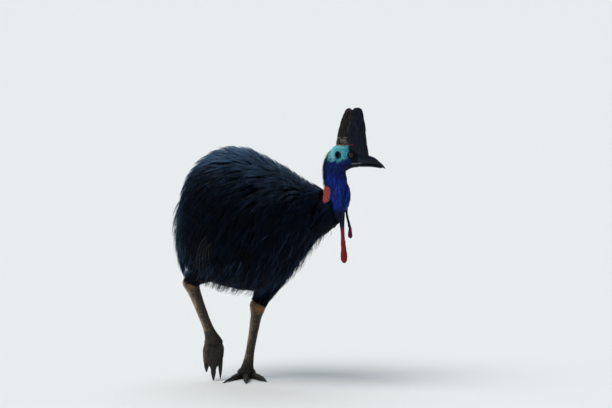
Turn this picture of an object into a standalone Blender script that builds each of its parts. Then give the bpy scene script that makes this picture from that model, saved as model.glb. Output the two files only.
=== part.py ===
"""Life-size still model of a southern cassowary in mid stride.

The bird stands on its left foot and lifts its right foot, whose middle claw still rests on the floor.
+X is the way the body faces, +Y is the bird's left, +Z is up, and one unit is a metre.
The origin is on the floor under the middle of the model's length and width.
"""

import math

import bmesh
import bpy
import numpy as np

# Clearance kept between two nodes that touch.
GAP = 0.0003
UP = np.array([0.0, 0.0, 1.0])

# Body: an egg whose side outline is given as radii about the body's middle, coat included.
BODY_CENTRE = np.array([-0.192, 0.0, 0.782])
BODY_OUTLINE = np.array([
    # degrees up from straight ahead, radius
    (0, 0.537), (8, 0.502), (15, 0.459), (25, 0.393), (39, 0.349), (53, 0.326), (68, 0.321), (84, 0.327),
    (100, 0.337), (116, 0.341), (132, 0.338), (148, 0.327), (166, 0.317), (183, 0.322), (196, 0.335),
    (212, 0.358), (232, 0.354), (252, 0.333), (272, 0.348), (289, 0.370), (304, 0.390), (318, 0.388),
    (333, 0.400), (345, 0.436), (353, 0.503),
])
BODY_HALF_WIDTH = 0.235
BODY_TOP_NARROWING = 0.10
BODY_FULLNESS = 2.2

# Coat: the core holds skin and down, and the locks rise from it to the outline.
CORE_LEVEL = 0.86
LOCK_COUNT = 75
LOCK_LENGTH = (0.22, 0.29)
LOCK_HALF_WIDTH = (0.038, 0.050)
LOCK_THICKNESS = 0.007
LOCK_LEVELS = (0.80, 0.905, 0.945, 0.965, 0.955)
LOCK_SHAPE = (0.65, 1.00, 0.88, 0.55)
LOCK_SEED = 7
# A lock hangs free where its lie points this much away from the body, out to this level.
HANG_FREE = 0.45
HANG_LEVEL = 1.08
LOCK_CLEARANCE = 0.002

# Rump: an oval knob below the back, slanted in degrees, with locks that droop from it.
TAIL_CENTRE = np.array([-0.462, 0.0, 0.720])
TAIL_HALF = (0.066, 0.090, 0.120)
TAIL_SLANT = 12
TAIL_LOCKS = 8
TAIL_LOCK_LEVEL = 1.052
TAIL_LOCK_LENGTH = 0.180
TAIL_LOCK_HALF = (0.020, 0.005)

# Neck and head: each station has the back of the ring and its front as (forward, height),
# the half width, and how far the ring is turned to the bird's left, in degrees.
NECK_X = 0.328
NECK_STATIONS = np.array([
    (-0.1000, 0.8450, -0.0120, 0.7450, 0.0500, 0),
    (-0.0600, 0.8920, 0.0380, 0.8120, 0.0480, 6),
    (-0.0573, 0.9205, 0.0600, 0.8720, 0.0465, 12),
    (-0.0535, 0.9488, 0.0573, 0.9350, 0.0450, 18),
    (-0.0582, 0.9865, 0.0450, 0.9840, 0.0430, 24),
    (-0.0582, 1.0290, 0.0430, 1.0075, 0.0415, 28),
    (-0.0492, 1.0666, 0.0560, 1.0180, 0.0415, 30),
    (-0.0310, 1.1019, 0.0730, 1.0260, 0.0410, 30),
    (-0.0024, 1.1270, 0.0860, 1.0285, 0.0390, 30),
    (0.0450, 1.1300, 0.0945, 1.0290, 0.0340, 30),
    (0.1000, 1.1000, 0.1000, 1.0290, 0.0225, 30),
])
HEAD_TURN = 30
HEAD_FIRST_RING = 5
NAPE_FOLDS = 7
NAPE_FOLD_HALF = (0.034, 0.0075, 0.0070)

# Casque: rear edge and front edge as (forward, height), and half width, from its foot up.
CASQUE_STATIONS = np.array([
    (0.0080, 1.1080, 0.1520, 1.0650, 0.0130),
    (-0.0010, 1.1320, 0.1560, 1.0860, 0.0250),
    (0.0045, 1.1640, 0.1495, 1.1230, 0.0270),
    (0.0100, 1.1950, 0.1450, 1.1650, 0.0250),
    (0.0160, 1.2205, 0.1405, 1.2050, 0.0215),
    (0.0250, 1.2500, 0.1350, 1.2450, 0.0170),
    (0.0370, 1.2800, 0.1260, 1.2805, 0.0115),
    (0.0480, 1.2955, 0.1160, 1.2955, 0.0070),
    (0.0620, 1.3010, 0.1040, 1.3025, 0.0025),
])
CASQUE_NOTCH = (0.0735, 1.3120)
CASQUE_NOTCH_RADIUS = 0.0150

# Bill: forward, top height, bottom height, half width.
UPPER_BILL = np.array([
    (0.1003, 1.0985, 1.0412, 0.0215),
    (0.1280, 1.0905, 1.0415, 0.0185),
    (0.1565, 1.0790, 1.0408, 0.0155),
    (0.1750, 1.0715, 1.0385, 0.0130),
    (0.1976, 1.0540, 1.0330, 0.0095),
    (0.2157, 1.0365, 1.0240, 0.0055),
    (0.2281, 1.0205, 1.0190, 0.0010),
])
LOWER_BILL = np.array([
    (0.1003, 1.0402, 1.0290, 0.0190),
    (0.1280, 1.0405, 1.0285, 0.0160),
    (0.1565, 1.0398, 1.0283, 0.0130),
    (0.1800, 1.0362, 1.0265, 0.0100),
    (0.1980, 1.0312, 1.0238, 0.0062),
    (0.2110, 1.0250, 1.0228, 0.0015),
])
NOSTRIL = (0.1700, 0.0135, 1.0560)
NOSTRIL_HALF = (0.0090, 0.0040, 0.0032)
# The line of the mouth from the gape to the bill, as (forward, sideways, height).
MOUTH_LINE = ((0.0620, 0.0340, 1.0445), (0.1098, 0.0200, 1.0408))
MOUTH_LINE_HALF = (0.0016, 0.007)

EYE = (0.0654, 1.0854, 0.0225)
EYE_RADIUS = 0.0145
LID_RADIUS = 0.0125
LID_THICKNESS = 0.0030
LID_STAND = 0.0095
EAR = (0.0043, 1.0880)
EAR_SIDE = 0.0405
EAR_RADIUS = 0.0085
EAR_RIM = 0.0022

# Wattles: height, forward of the rear and front edges; the right one is the longer.
WATTLE_TURN = 12
WATTLE_SIDE = 0.020
WATTLE_FLATNESS = 0.45
RIGHT_WATTLE = np.array([
    (0.8700, 0.0130, 0.0480), (0.8357, 0.0160, 0.0470), (0.7980, 0.0215, 0.0480), (0.7600, 0.0270, 0.0485),
    (0.7145, 0.0355, 0.0530), (0.6710, 0.0365, 0.0585), (0.6390, 0.0365, 0.0640), (0.6095, 0.0365, 0.0665),
    (0.5930, 0.0410, 0.0625), (0.5850, 0.0490, 0.0550),
])
LEFT_WATTLE = np.array([
    (0.8500, 0.0300, 0.0520), (0.8190, 0.0375, 0.0480), (0.7890, 0.0435, 0.0545), (0.7600, 0.0500, 0.0620),
    (0.7440, 0.0530, 0.0670), (0.7110, 0.0520, 0.0715), (0.7020, 0.0560, 0.0690), (0.6975, 0.0610, 0.0650),
])

# Wings: a small stub on each flank, and bare quills that droop from it.
WING_ROOT = (-0.192, 0.205, 0.738)
WING_HALF = (0.065, 0.024, 0.038)
WING_SLANT = 35
QUILL_LENGTHS = (0.200, 0.250, 0.290, 0.265, 0.215)
QUILL_RADIUS = 0.0022
QUILL_LEVEL = 1.06
QUILL_REACH = 0.195
QUILL_EXIT = (-0.018, 0.036, -0.014)
QUILL_EXIT_RADIUS = 0.026

# Legs. Each thigh runs from its root in the body to the ankle, each shank from the ankle
# to the ball of the foot. Both feet are turned to the bird's right.
LEFT_THIGH_ROOT, LEFT_ANKLE, LEFT_BALL = (0.030, 0.098, 0.660), (-0.134, 0.070, 0.3595), (-0.188, 0.050, 0.0275)
RIGHT_THIGH_ROOT, RIGHT_ANKLE = (-0.060, -0.098, 0.660), (-0.406, -0.090, 0.468)
RIGHT_BALL_PLAN = (-0.302, -0.062)
FOOT_HEADING = -60
THIGH_COAT_RADII = (0.080, 0.090, 0.076, 0.056, 0.040)
THIGH_CORE_SHARE = 0.62
THIGH_ROOT_SHARE = 0.30
THIGH_LAST_LOCK = 0.86
THIGH_LOCKS = 9
THIGH_LOCK_RISE = (0.50, 0.84, 0.95, 0.99, 0.97)
BALL_HALF = (0.028, 0.044, 0.030)
SHANK_STATIONS = np.array([
    # share of the way down, half width, half depth
    (-0.070, 0.0200, 0.0190), (-0.040, 0.0300, 0.0290), (0.005, 0.0350, 0.0330), (0.045, 0.0330, 0.0320),
    (0.100, 0.0310, 0.0290), (0.200, 0.0255, 0.0250), (0.450, 0.0215, 0.0220), (0.700, 0.0205, 0.0200),
    (0.850, 0.0245, 0.0200), (0.930, 0.0310, 0.0205), (0.985, 0.0360, 0.0210),
])
SHANK_SCUTES = 12
SCUTE_STEP = 0.0012

# Toes: length, claw length, side of the foot (outer is 1), spread in degrees.
TOES = {
    "inner": (0.078, 0.100, -1, 26),
    "middle": (0.138, 0.046, 0, 0),
    "outer": (0.104, 0.040, 1, 28),
}
TOE_OFFSET = 0.0310
TOE_HALF_WIDTH = 0.0155
TOE_HALF_HEIGHT = 0.0150
TOE_TAPER = 0.30
TOE_SCUTES = 6
CLAW_HALF = 0.0080
CLAW_TIP = 0.0022
# The lifted foot's toes hang: steepness in degrees at the ball, at the claw's root and at its tip.
HANGING_STEEPNESS = (68, 84, 90)
HANGING_SPREAD = 0.15

COAT_BLACK = (0.012, 0.013, 0.018)
SKIN_BLUE = (0.02, 0.05, 0.35)
FACE_TURQUOISE = (0.05, 0.30, 0.42)
WATTLE_RED = (0.55, 0.03, 0.05)
CASQUE_BROWN = (0.06, 0.05, 0.04)
BILL_BLACK = (0.015, 0.015, 0.018)
QUILL_BLACK = (0.02, 0.02, 0.02)
LEG_BROWN = (0.16, 0.12, 0.08)
FOOT_GREY = (0.05, 0.05, 0.05)
CLAW_BLACK = (0.02, 0.02, 0.02)
EYE_AMBER = (0.45, 0.18, 0.03)


def clear_scene():
    """Removes every object of the startup scene."""
    for thing in list(bpy.data.objects):
        bpy.data.objects.remove(thing)


def paint(name, colour, roughness, metallic=0.0):
    """A Principled material of one colour."""
    finish = bpy.data.materials.new(name)
    finish.use_nodes = True
    shader = finish.node_tree.nodes["Principled BSDF"]
    shader.inputs["Base Color"].default_value = (*colour, 1.0)
    shader.inputs["Roughness"].default_value = roughness
    shader.inputs["Metallic"].default_value = metallic
    return finish


def unit(vectors):
    """Vectors scaled to length one."""
    vectors = np.asarray(vectors, float)
    return vectors / np.linalg.norm(vectors, axis=-1, keepdims=True)


def spline(stations, places):
    """Rows of stations joined by a smooth curve and read at places, counted in stations from 0."""
    stations = np.asarray(stations, float)
    last = len(stations) - 1
    places = np.clip(np.asarray(places, float), 0, last)
    before = np.minimum(places.astype(int), last - 1)
    share = (places - before)[:, None]
    near, far = stations[before], stations[before + 1]
    earlier = stations[np.maximum(before - 1, 0)]
    later = stations[np.minimum(before + 2, last)]
    leave, arrive = (far - earlier) / 2, (later - near) / 2
    return (
        (2 * share**3 - 3 * share**2 + 1) * near
        + (share**3 - 2 * share**2 + share) * leave
        + (3 * share**2 - 2 * share**3) * far
        + (share**3 - share**2) * arrive
    )


def evenly(stations, rings):
    """Stations resampled to a number of rings, from the first to the last."""
    return spline(stations, np.linspace(0, len(stations) - 1, rings))


def rounded(turn, power):
    """Cosines and sines of a ring, squarer as power rises above 2."""
    along, across = np.cos(turn), np.sin(turn)
    fold = 2 / power
    return np.sign(along) * np.abs(along) ** fold, np.sign(across) * np.abs(across) ** fold


def loft(centres, ups, sideways, sides, power=2.0):
    """Rings around centres whose half axes are ups and sideways, as an array of rings by sides by 3."""
    along, across = rounded(np.arange(sides) * 2 * math.pi / sides, power)
    return (
        centres[:, None, :]
        + ups[:, None, :] * along[None, :, None]
        + sideways[:, None, :] * across[None, :, None]
    )


def skin_rings(rings):
    """Vertices and triangles of closed rings, with a flat cap at both ends."""
    count, sides = rings.shape[:2]
    ring, side = np.meshgrid(np.arange(count - 1), np.arange(sides), indexing="ij")
    here = ring * sides + side
    beside = ring * sides + (side + 1) % sides
    walls = np.concatenate([
        np.stack([here, beside, beside + sides], -1).reshape(-1, 3),
        np.stack([here, beside + sides, here + sides], -1).reshape(-1, 3),
    ])
    fan = np.arange(1, sides - 1)
    first = np.stack([np.zeros_like(fan), fan + 1, fan], -1)
    last = np.stack([np.zeros_like(fan), fan, fan + 1], -1) + (count - 1) * sides
    return rings.reshape(-1, 3), np.concatenate([walls, first, last])


def add_object(name, points, faces, finish=None):
    """A mesh object whose faces point outwards."""
    corners = points[faces]
    volume = np.einsum("ij,ij->i", corners[:, 0], np.cross(corners[:, 1], corners[:, 2])).sum()
    if volume < 0:
        faces = faces[:, ::-1]
    mesh = bpy.data.meshes.new(name)
    mesh.from_pydata(points.tolist(), [], faces.tolist())
    mesh.update()
    mesh.shade_smooth()
    mesh.set_sharp_from_angle(angle=math.radians(50))
    made = bpy.data.objects.new(name, mesh)
    bpy.context.scene.collection.objects.link(made)
    if finish:
        mesh.materials.append(finish)
    return made


def lofted(name, rings, finish=None):
    """A mesh object made of closed rings."""
    return add_object(name, *skin_rings(rings), finish)


def ball_object(name, centre, axes, finish=None, rings=8, sides=12):
    """An ellipsoid whose three half axes are the rows of axes; its poles lie on the first."""
    centre, axes = np.asarray(centre, float), np.asarray(axes, float)
    turn = np.linspace(0, math.pi, rings + 1)[1:-1]
    middles = centre + np.cos(turn)[:, None] * axes[0]
    shell = loft(middles, np.sin(turn)[:, None] * axes[1], np.sin(turn)[:, None] * axes[2], sides)
    points, faces = skin_rings(shell)
    walls = faces[: 2 * sides * (len(turn) - 1)]
    poles = len(points) + np.array([0, 1])
    points = np.concatenate([points, centre + axes[:1], centre - axes[:1]])
    side = np.arange(sides)
    near = np.stack([(side + 1) % sides, side, np.full(sides, poles[0])], -1)
    last = (len(turn) - 1) * sides
    far = np.stack([last + side, last + (side + 1) % sides, np.full(sides, poles[1])], -1)
    return add_object(name, points, np.concatenate([walls, near, far]), finish)


def hoop_object(name, centre, radius, thickness, ahead, up, out, sides=14, around=4):
    """A round hoop that lies across the out direction, such as an eyelid or an ear's rim."""
    turn = np.arange(sides) * 2 * math.pi / sides
    spokes = np.cos(turn)[:, None] * ahead + np.sin(turn)[:, None] * up
    rings = loft(centre + spokes * radius, spokes * thickness, np.tile(out, (sides, 1)) * thickness, around)
    points = rings.reshape(-1, 3)
    ring, side = np.meshgrid(np.arange(sides), np.arange(around), indexing="ij")
    here, beside = ring * around + side, ring * around + (side + 1) % around
    next_here, next_beside = (here + around) % len(points), (beside + around) % len(points)
    faces = np.concatenate([
        np.stack([here, beside, next_beside], -1).reshape(-1, 3),
        np.stack([here, next_beside, next_here], -1).reshape(-1, 3),
    ])
    return add_object(name, points, faces)


def evaluated_mesh(thing):
    """The object's mesh with its modifiers applied."""
    graph = bpy.context.evaluated_depsgraph_get()
    return bpy.data.meshes.new_from_object(thing.evaluated_get(graph))


def combine(body, pieces, operation, solver="MANIFOLD"):
    """Joins pieces to the body, or cuts them from it, by one Boolean, and removes the pieces."""
    group = bpy.data.collections.new(operation)
    for piece in pieces:
        group.objects.link(piece)
    step = body.modifiers.new(operation, "BOOLEAN")
    step.operation = operation
    step.operand_type = "COLLECTION"
    step.collection = group
    step.solver = solver
    applied = evaluated_mesh(body)
    body.modifiers.clear()
    body.data = applied
    for piece in pieces:
        bpy.data.objects.remove(piece)
    bpy.data.collections.remove(group)
    keep_largest(body)


def keep_largest(body):
    """Leaves the body its largest closed surface."""
    work = bmesh.new()
    work.from_mesh(body.data)
    left = set(work.faces)
    shells = []
    while left:
        front = [left.pop()]
        shell = list(front)
        while front:
            face = front.pop()
            near = {other for edge in face.edges for other in edge.link_faces} & left
            left -= near
            front += near
            shell += near
        shells.append(shell)
    shells.sort(key=lambda shell: sum(face.calc_area() for face in shell))
    loose = [face for shell in shells[:-1] for face in shell]
    bmesh.ops.delete(work, geom=loose, context="FACES")
    work.to_mesh(body.data)
    work.free()


def flatten(thing):
    """Presses what would sink below the floor level with it."""
    for corner in thing.data.vertices:
        corner.co.z = max(corner.co.z, 0.0)


def body_radius(angle):
    """The side outline's radius at an angle in radians, read from a smooth closed curve."""
    degrees = np.degrees(angle) % 360
    at, size = BODY_OUTLINE.T
    at = np.concatenate([at[-2:] - 360, at, at[:2] + 360])
    size = np.concatenate([size[-2:], size, size[:2]])
    slope = np.gradient(size, at)
    before = np.clip(np.searchsorted(at, degrees, side="right") - 1, 0, len(at) - 2)
    span = at[before + 1] - at[before]
    share = (degrees - at[before]) / span
    return (
        (2 * share**3 - 3 * share**2 + 1) * size[before]
        + (share**3 - 2 * share**2 + share) * span * slope[before]
        + (3 * share**2 - 2 * share**3) * size[before + 1]
        + (share**3 - share**2) * span * slope[before + 1]
    )


def body_level(points):
    """0 at the body's middle and 1 on the coat's outer surface, growing evenly outwards."""
    offset = np.asarray(points, float) - BODY_CENTRE
    angle = np.arctan2(offset[..., 2], offset[..., 0])
    reach = np.hypot(offset[..., 0], offset[..., 2]) / body_radius(angle)
    aside = np.abs(offset[..., 1]) / BODY_HALF_WIDTH
    steepness = reach / np.hypot(reach, aside + 1e-9)
    aside = aside / (1 - BODY_TOP_NARROWING * np.sin(angle) * steepness)
    return (reach**BODY_FULLNESS + aside**BODY_FULLNESS) ** (1 / BODY_FULLNESS)


def to_level(points, level):
    """Points moved along the line from the body's middle until they lie at a level."""
    offset = np.asarray(points, float) - BODY_CENTRE
    return BODY_CENTRE + offset * (level / body_level(points))[..., None]


def turned(forward, side, height, turn):
    """A point given along the neck's own plane, which is turned to the left by turn degrees."""
    turn = np.radians(turn)
    return np.stack([
        NECK_X + forward * np.cos(turn) - side * np.sin(turn),
        forward * np.sin(turn) + side * np.cos(turn),
        height + 0 * forward,
    ], -1)


def profile_rings(stations, turns, sides, power, grow=0.0):
    """Rings from stations of (rear forward, rear height, front forward, front height, half width)."""
    back = turned(stations[:, 0], 0.0, stations[:, 1], turns)
    front = turned(stations[:, 2], 0.0, stations[:, 3], turns)
    angle = np.radians(turns)
    left = np.stack([-np.sin(angle), np.cos(angle), 0 * angle], -1)
    half = (back - front) / 2
    longer = half * (1 + grow / np.linalg.norm(half, axis=1, keepdims=True))
    return loft((back + front) / 2, longer, left * (stations[:, 4:5] + grow), sides, power)


def neck_rings(first, last, rings, sides, grow=0.0):
    """Rings of the neck and head between two stations."""
    read = spline(NECK_STATIONS, np.linspace(first, last, rings))
    return profile_rings(read[:, :5], read[:, 5], sides, 2.15, grow)


def neck_only(grow=0.0):
    """Rings of the neck, up to the head."""
    return neck_rings(0, HEAD_FIRST_RING - 0.004, 12, 16, grow)


def head_only(grow=0.0):
    """Rings of the head, from the neck to the root of the bill."""
    return neck_rings(HEAD_FIRST_RING + 0.004, 10, 13, 15, grow)


def bill_profile(stations, rings):
    """Stations of (forward, top, bottom, half width) as profile stations."""
    read = evenly(stations, rings)
    return np.stack([read[:, 0], read[:, 1], read[:, 0], read[:, 2], read[:, 3]], -1)


def head_rings(profile, sides, power=2.0, grow=0.0):
    """Profile rings in the head's plane."""
    return profile_rings(profile, np.full(len(profile), float(HEAD_TURN)), sides, power, grow)


def head_point(forward, side, height):
    """A point in the head's plane."""
    return turned(np.float64(forward), np.float64(side), np.float64(height), float(HEAD_TURN))


def head_frame():
    """The head's forward and left directions."""
    turn = math.radians(HEAD_TURN)
    return np.array([math.cos(turn), math.sin(turn), 0.0]), np.array([-math.sin(turn), math.cos(turn), 0.0])


def head_axes(along, side, up):
    """Half axes of an ellipsoid that stands straight in the head's plane."""
    ahead, left = head_frame()
    return np.stack([left * side, ahead * along, UP * up])


def body_normal(points):
    """The outward direction of the coat's surface through each point."""
    step = 1e-4
    slopes = [body_level(points + np.eye(3)[axis] * step) - body_level(points) for axis in range(3)]
    return unit(np.stack(slopes, -1))


def coat_flow(points):
    """The way the coat lies: back along the spine, and steeper down towards flanks, chest and rump."""
    height = np.clip((points[..., 2:] - BODY_CENTRE[2]) / BODY_OUTLINE[:, 1].mean(), 0, 1)
    rear = np.clip((BODY_CENTRE[0] - points[..., :1]) / BODY_OUTLINE[:, 1].mean(), 0, 1)
    back = 0.50 + 0.42 * height - 0.30 * rear
    return unit(np.concatenate([-back, 0 * back, back - 1.35 + 0.20 * height], -1))


def drape(roots, lengths, levels):
    """Paths that start at roots and follow the coat's lie, one point for each level of the body.

    Where the lie points away from the body, as under the belly, a path leaves it and hangs free.
    """
    points = to_level(roots, levels[:, 0])
    paths = [points]
    heading = coat_flow(points)
    step = (lengths / (levels.shape[1] - 1))[:, None]
    for level in levels.T[1:]:
        outward = body_normal(points)
        flow = coat_flow(points)
        leaving = (flow * outward).sum(-1, keepdims=True)
        along = flow - outward * np.where(leaving > 0, leaving * (1 - leaving), leaving)
        heading = unit(unit(along) + 0.7 * heading)
        points = points + heading * step
        free = np.clip(body_level(points), level, HANG_LEVEL)
        points = to_level(points, np.where(leaving[:, 0] > HANG_FREE, free, level))
        paths.append(points)
    return np.stack(paths, 1)


def lock_object(path, outward, half_width, thickness):
    """One flat lock with three sides: two thin edges that bend inwards and a ridge, pointed at its end."""
    along = unit(np.gradient(path, axis=0))
    side = unit(np.cross(outward, along))
    over = np.cross(along, side)
    shape = np.array(LOCK_SHAPE)[:, None]
    middle, edge, lift = path[:-1], side[:-1] * shape * half_width, over[:-1] * thickness * shape
    rings = np.stack([middle + edge - lift * 0.5, middle + lift, middle - edge - lift * 0.5], 1)
    points = np.concatenate([rings.reshape(-1, 3), path[-1:]])
    faces = skin_rings(rings)[1]
    faces = faces[(faces < len(points) - 4).any(1)]
    tip = len(points) - 1
    ends = np.array([[tip - 3 + k, tip - 3 + (k + 1) % 3, tip] for k in range(3)])
    return add_object("lock", points, np.concatenate([faces, ends]))


def coat_locks(rng):
    """Locks spread evenly over the body, rooted in the core."""
    number = np.arange(LOCK_COUNT) + 0.5
    turn = number * math.pi * (3 - math.sqrt(5))
    along = 1 - 2 * number / LOCK_COUNT
    ring = np.sqrt(1 - along**2)
    size = np.array([0.43, BODY_HALF_WIDTH, 0.34])
    roots = BODY_CENTRE + np.stack([along, ring * np.cos(turn), ring * np.sin(turn)], -1) * size
    roots = to_level(roots + rng.uniform(-0.012, 0.012, roots.shape), 1.0)
    lengths = rng.uniform(*LOCK_LENGTH, LOCK_COUNT)
    levels = np.tile(LOCK_LEVELS, (LOCK_COUNT, 1)) + rng.uniform(-0.008, 0.004, (LOCK_COUNT, 1))
    paths = drape(roots, lengths, levels)
    widths = rng.uniform(*LOCK_HALF_WIDTH, LOCK_COUNT)
    return [
        lock_object(path, body_normal(path), width, LOCK_THICKNESS)
        for path, width in zip(paths, widths)
    ]


def build_torso(finish):
    """The body's core with its coat of locks."""
    rings, sides = 15, 16
    turn = np.linspace(0, math.pi, rings + 2)[1:-1]
    around = np.arange(sides) * 2 * math.pi / sides
    directions = np.stack([
        np.repeat(np.cos(turn)[:, None], sides, 1),
        np.sin(turn)[:, None] * np.sin(around)[None, :],
        np.sin(turn)[:, None] * np.cos(around)[None, :],
    ], -1)
    torso = lofted("torso", to_level(BODY_CENTRE + directions, CORE_LEVEL), finish)
    combine(torso, coat_locks(np.random.default_rng(LOCK_SEED)), "UNION")
    return torso


def tail_ball(name, grow=0.0, finish=None):
    """The rump's knob, or the room that it takes."""
    slant = math.radians(TAIL_SLANT)
    back = np.array([-math.cos(slant), 0.0, -math.sin(slant)])
    down = np.array([math.sin(slant), 0.0, -math.cos(slant)])
    half = np.array(TAIL_HALF) + grow
    axes = np.stack([down * half[2], back * half[0], np.array([0.0, half[1], 0.0])])
    return ball_object(name, TAIL_CENTRE, axes, finish, rings=10, sides=14)


def tail_locks(grow=0.0):
    """The long locks that droop from the rump over the rear of the body, or the room that they take."""
    made = []
    for number in range(TAIL_LOCKS):
        across = 2 * (number + 0.5) / TAIL_LOCKS - 1
        root = TAIL_CENTRE + np.array([-0.010, 0.050 * across, 0.060 - 0.055 * abs(across) - 0.03 * (number % 2)])
        level = TAIL_LOCK_LEVEL + 0.012 * (number % 2)
        levels = np.array([[0.97, TAIL_LOCK_LEVEL, level, level, TAIL_LOCK_LEVEL]])
        lengths = np.array([TAIL_LOCK_LENGTH + 0.03 * (number % 3)])
        path = drape(root[None], lengths, levels)[0]
        path[-1] += unit(path[-1] - path[-2]) * grow
        normal = body_normal(path)
        path -= normal * grow / 2
        made.append(lock_object(path, normal, TAIL_LOCK_HALF[0] + grow, TAIL_LOCK_HALF[1] + grow))
    return made


def build_tail(finish):
    """The rump's knob with its locks."""
    tail = tail_ball("tail", 0.0, finish)
    combine(tail, tail_locks(), "UNION")
    return tail


def wing_ball(name, side, grow=0.0, finish=None):
    """A wing's stub, or the room that it takes."""
    slant = math.radians(WING_SLANT)
    back = np.array([-math.cos(slant), 0.0, -math.sin(slant)])
    up = np.array([-math.sin(slant), 0.0, math.cos(slant)])
    half = np.array(WING_HALF) + grow
    axes = np.stack([back * half[0], np.array([0.0, half[1], 0.0]), up * half[2]])
    root = np.array(WING_ROOT) * (1, side, 1)
    return ball_object(name, root, axes, finish, rings=8, sides=12)


def quill_room(side):
    """The room that the quills take in the coat where they leave it."""
    middle = (np.array(WING_ROOT) + QUILL_EXIT) * (1, side, 1)
    return ball_object("quill_room", middle, np.eye(3) * QUILL_EXIT_RADIUS, rings=6, sides=8)


def quill(side, number):
    """One bare quill that leaves the stub backwards and droops over the flank."""
    length = QUILL_LENGTHS[number]
    share = np.array([0, 0.07, 0.30, 0.53, 0.77, 1.0])[:, None]
    fan = number / (len(QUILL_LENGTHS) - 1)
    start = np.array(WING_ROOT) * (1, side, 1) + np.array([-0.008 - 0.014 * fan, 0.0, -0.018 + 0.020 * fan])
    steep = np.radians(62 - 26 * fan + 22 * share)
    step = np.concatenate([-np.cos(steep), 0 * steep, -np.sin(steep)], 1)[1:] * np.diff(share, axis=0) * length
    path = start + np.concatenate([np.zeros((1, 3)), np.cumsum(step, 0)])
    path[:, 1] = side * 0.2
    level = np.full(len(share), QUILL_LEVEL + 0.01 * number)
    level[0] = 0.90
    path = lift_sideways(path, side, level)
    path[1:, 1] = side * np.maximum(np.abs(path[1:, 1]), QUILL_REACH)
    along = unit(np.gradient(path, axis=0))
    out = unit(np.cross(along, UP) * side)
    size = QUILL_RADIUS * (1 - 0.72 * share)
    return lofted("quill", loft(path, out * size, np.cross(along, out) * size, 4))


def lift_sideways(path, side, level):
    """Moves points straight out sideways until they lie at a level of the body."""
    path = path.copy()
    near, far = np.zeros(len(path)), np.full(len(path), 0.6)
    for _ in range(30):
        middle = (near + far) / 2
        path[:, 1] = side * middle
        inside = body_level(path) < level
        near = np.where(inside, middle, near)
        far = np.where(inside, far, middle)
    return path


def build_wing(name, side, finish):
    """A wing's stub with its quills."""
    wing = wing_ball(name, side, 0.0, finish)
    combine(wing, [quill(side, number) for number in range(len(QUILL_LENGTHS))], "UNION")
    return wing


def build_neck(finish):
    """The neck from its root in the chest up to the head, with the nape's fleshy folds."""
    neck = lofted("neck", neck_only(), finish)
    folds = []
    for number in range(NAPE_FOLDS):
        place = 1.75 + 2.3 * number / (NAPE_FOLDS - 1)
        read = spline(NECK_STATIONS, [place])[0]
        turn = math.radians(read[5])
        left = np.array([-math.sin(turn), math.cos(turn), 0.0])
        back = turned(read[0:1] + 0.003, 0.0, read[1:2], read[5:6])[0]
        sway = 0.004 * math.sin(2.1 * number)
        across, out, along = np.array(NAPE_FOLD_HALF) * (1 - 0.12 * (number % 3))
        axes = np.stack([left * across, np.array([-math.cos(turn), -math.sin(turn), 0.0]) * out, UP * along])
        folds.append(ball_object("fold", back + left * sway, axes, rings=6, sides=6))
    combine(neck, folds, "UNION")
    return neck


def eye_room(side):
    """The room that an eyeball takes in the head."""
    middle = head_point(EYE[0], side * EYE[2], EYE[1])
    return ball_object("socket", middle, np.eye(3) * (EYE_RADIUS + GAP), rings=8, sides=12)


def build_eye(name, side, finish):
    """One eyeball."""
    middle = head_point(EYE[0], side * EYE[2], EYE[1])
    return ball_object(name, middle, np.eye(3) * EYE_RADIUS, finish, rings=8, sides=12)


def build_head(finish):
    """The head from the neck to the root of the bill, with lids, ear cups and the line of the mouth."""
    head = lofted("head", head_only(), finish)
    ahead, left = head_frame()
    rims, cutters = [], []
    for side in (-1, 1):
        eye = head_point(EYE[0], side * (EYE[2] + LID_STAND), EYE[1])
        rims.append(hoop_object("lid", eye, LID_RADIUS, LID_THICKNESS, ahead, UP, left))
        ear = head_point(EAR[0], side * EAR_SIDE, EAR[1])
        rims.append(hoop_object("ear_rim", ear, EAR_RADIUS, EAR_RIM, ahead, UP, left, sides=8, around=4))
        cutters.append(eye_room(side))
        cup = head_axes(EAR_RADIUS * 0.85, 0.009, EAR_RADIUS)
        cutters.append(ball_object("ear_cup", ear + left * side * EAR_RIM, cup, rings=5, sides=8))
        slit = np.stack([head_point(ahead_by, side * aside, height) for ahead_by, aside, height in MOUTH_LINE])
        thin, wide = (np.tile(way * half, (2, 1)) for way, half in zip((UP, left), MOUTH_LINE_HALF))
        cutters.append(lofted("mouth", loft(slit, thin, wide, 4)))
    combine(head, rims, "UNION")
    combine(head, cutters, "DIFFERENCE")
    return head


def build_casque(finish):
    """The tall casque with its notched top, seated on the skull and the root of the bill."""
    casque = lofted("casque", head_rings(evenly(CASQUE_STATIONS, 14), 14, 1.9), finish)
    skull = lofted("skull_room", head_only(GAP))
    culmen = bill_profile(UPPER_BILL, 12)
    culmen[0, [0, 2]] -= 2 * GAP
    bill = lofted("bill_room", head_rings(culmen, 12, 2.0, GAP))
    notch_axes = head_axes(CASQUE_NOTCH_RADIUS * 0.7, 0.05, CASQUE_NOTCH_RADIUS)
    notch = ball_object("notch", head_point(CASQUE_NOTCH[0], 0, CASQUE_NOTCH[1]), notch_axes)
    lids = [lid_room(side) for side in (-1, 1)]
    combine(casque, [skull, bill, notch, *lids], "DIFFERENCE")
    return casque


def lid_room(side):
    """The room that an eye and its lids take in the casque."""
    middle = head_point(EYE[0], side * (EYE[2] + 0.004), EYE[1])
    reach = LID_RADIUS + LID_THICKNESS + 2 * GAP
    return ball_object("lid_room", middle, head_axes(reach, 0.017, reach), rings=6, sides=10)


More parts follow.
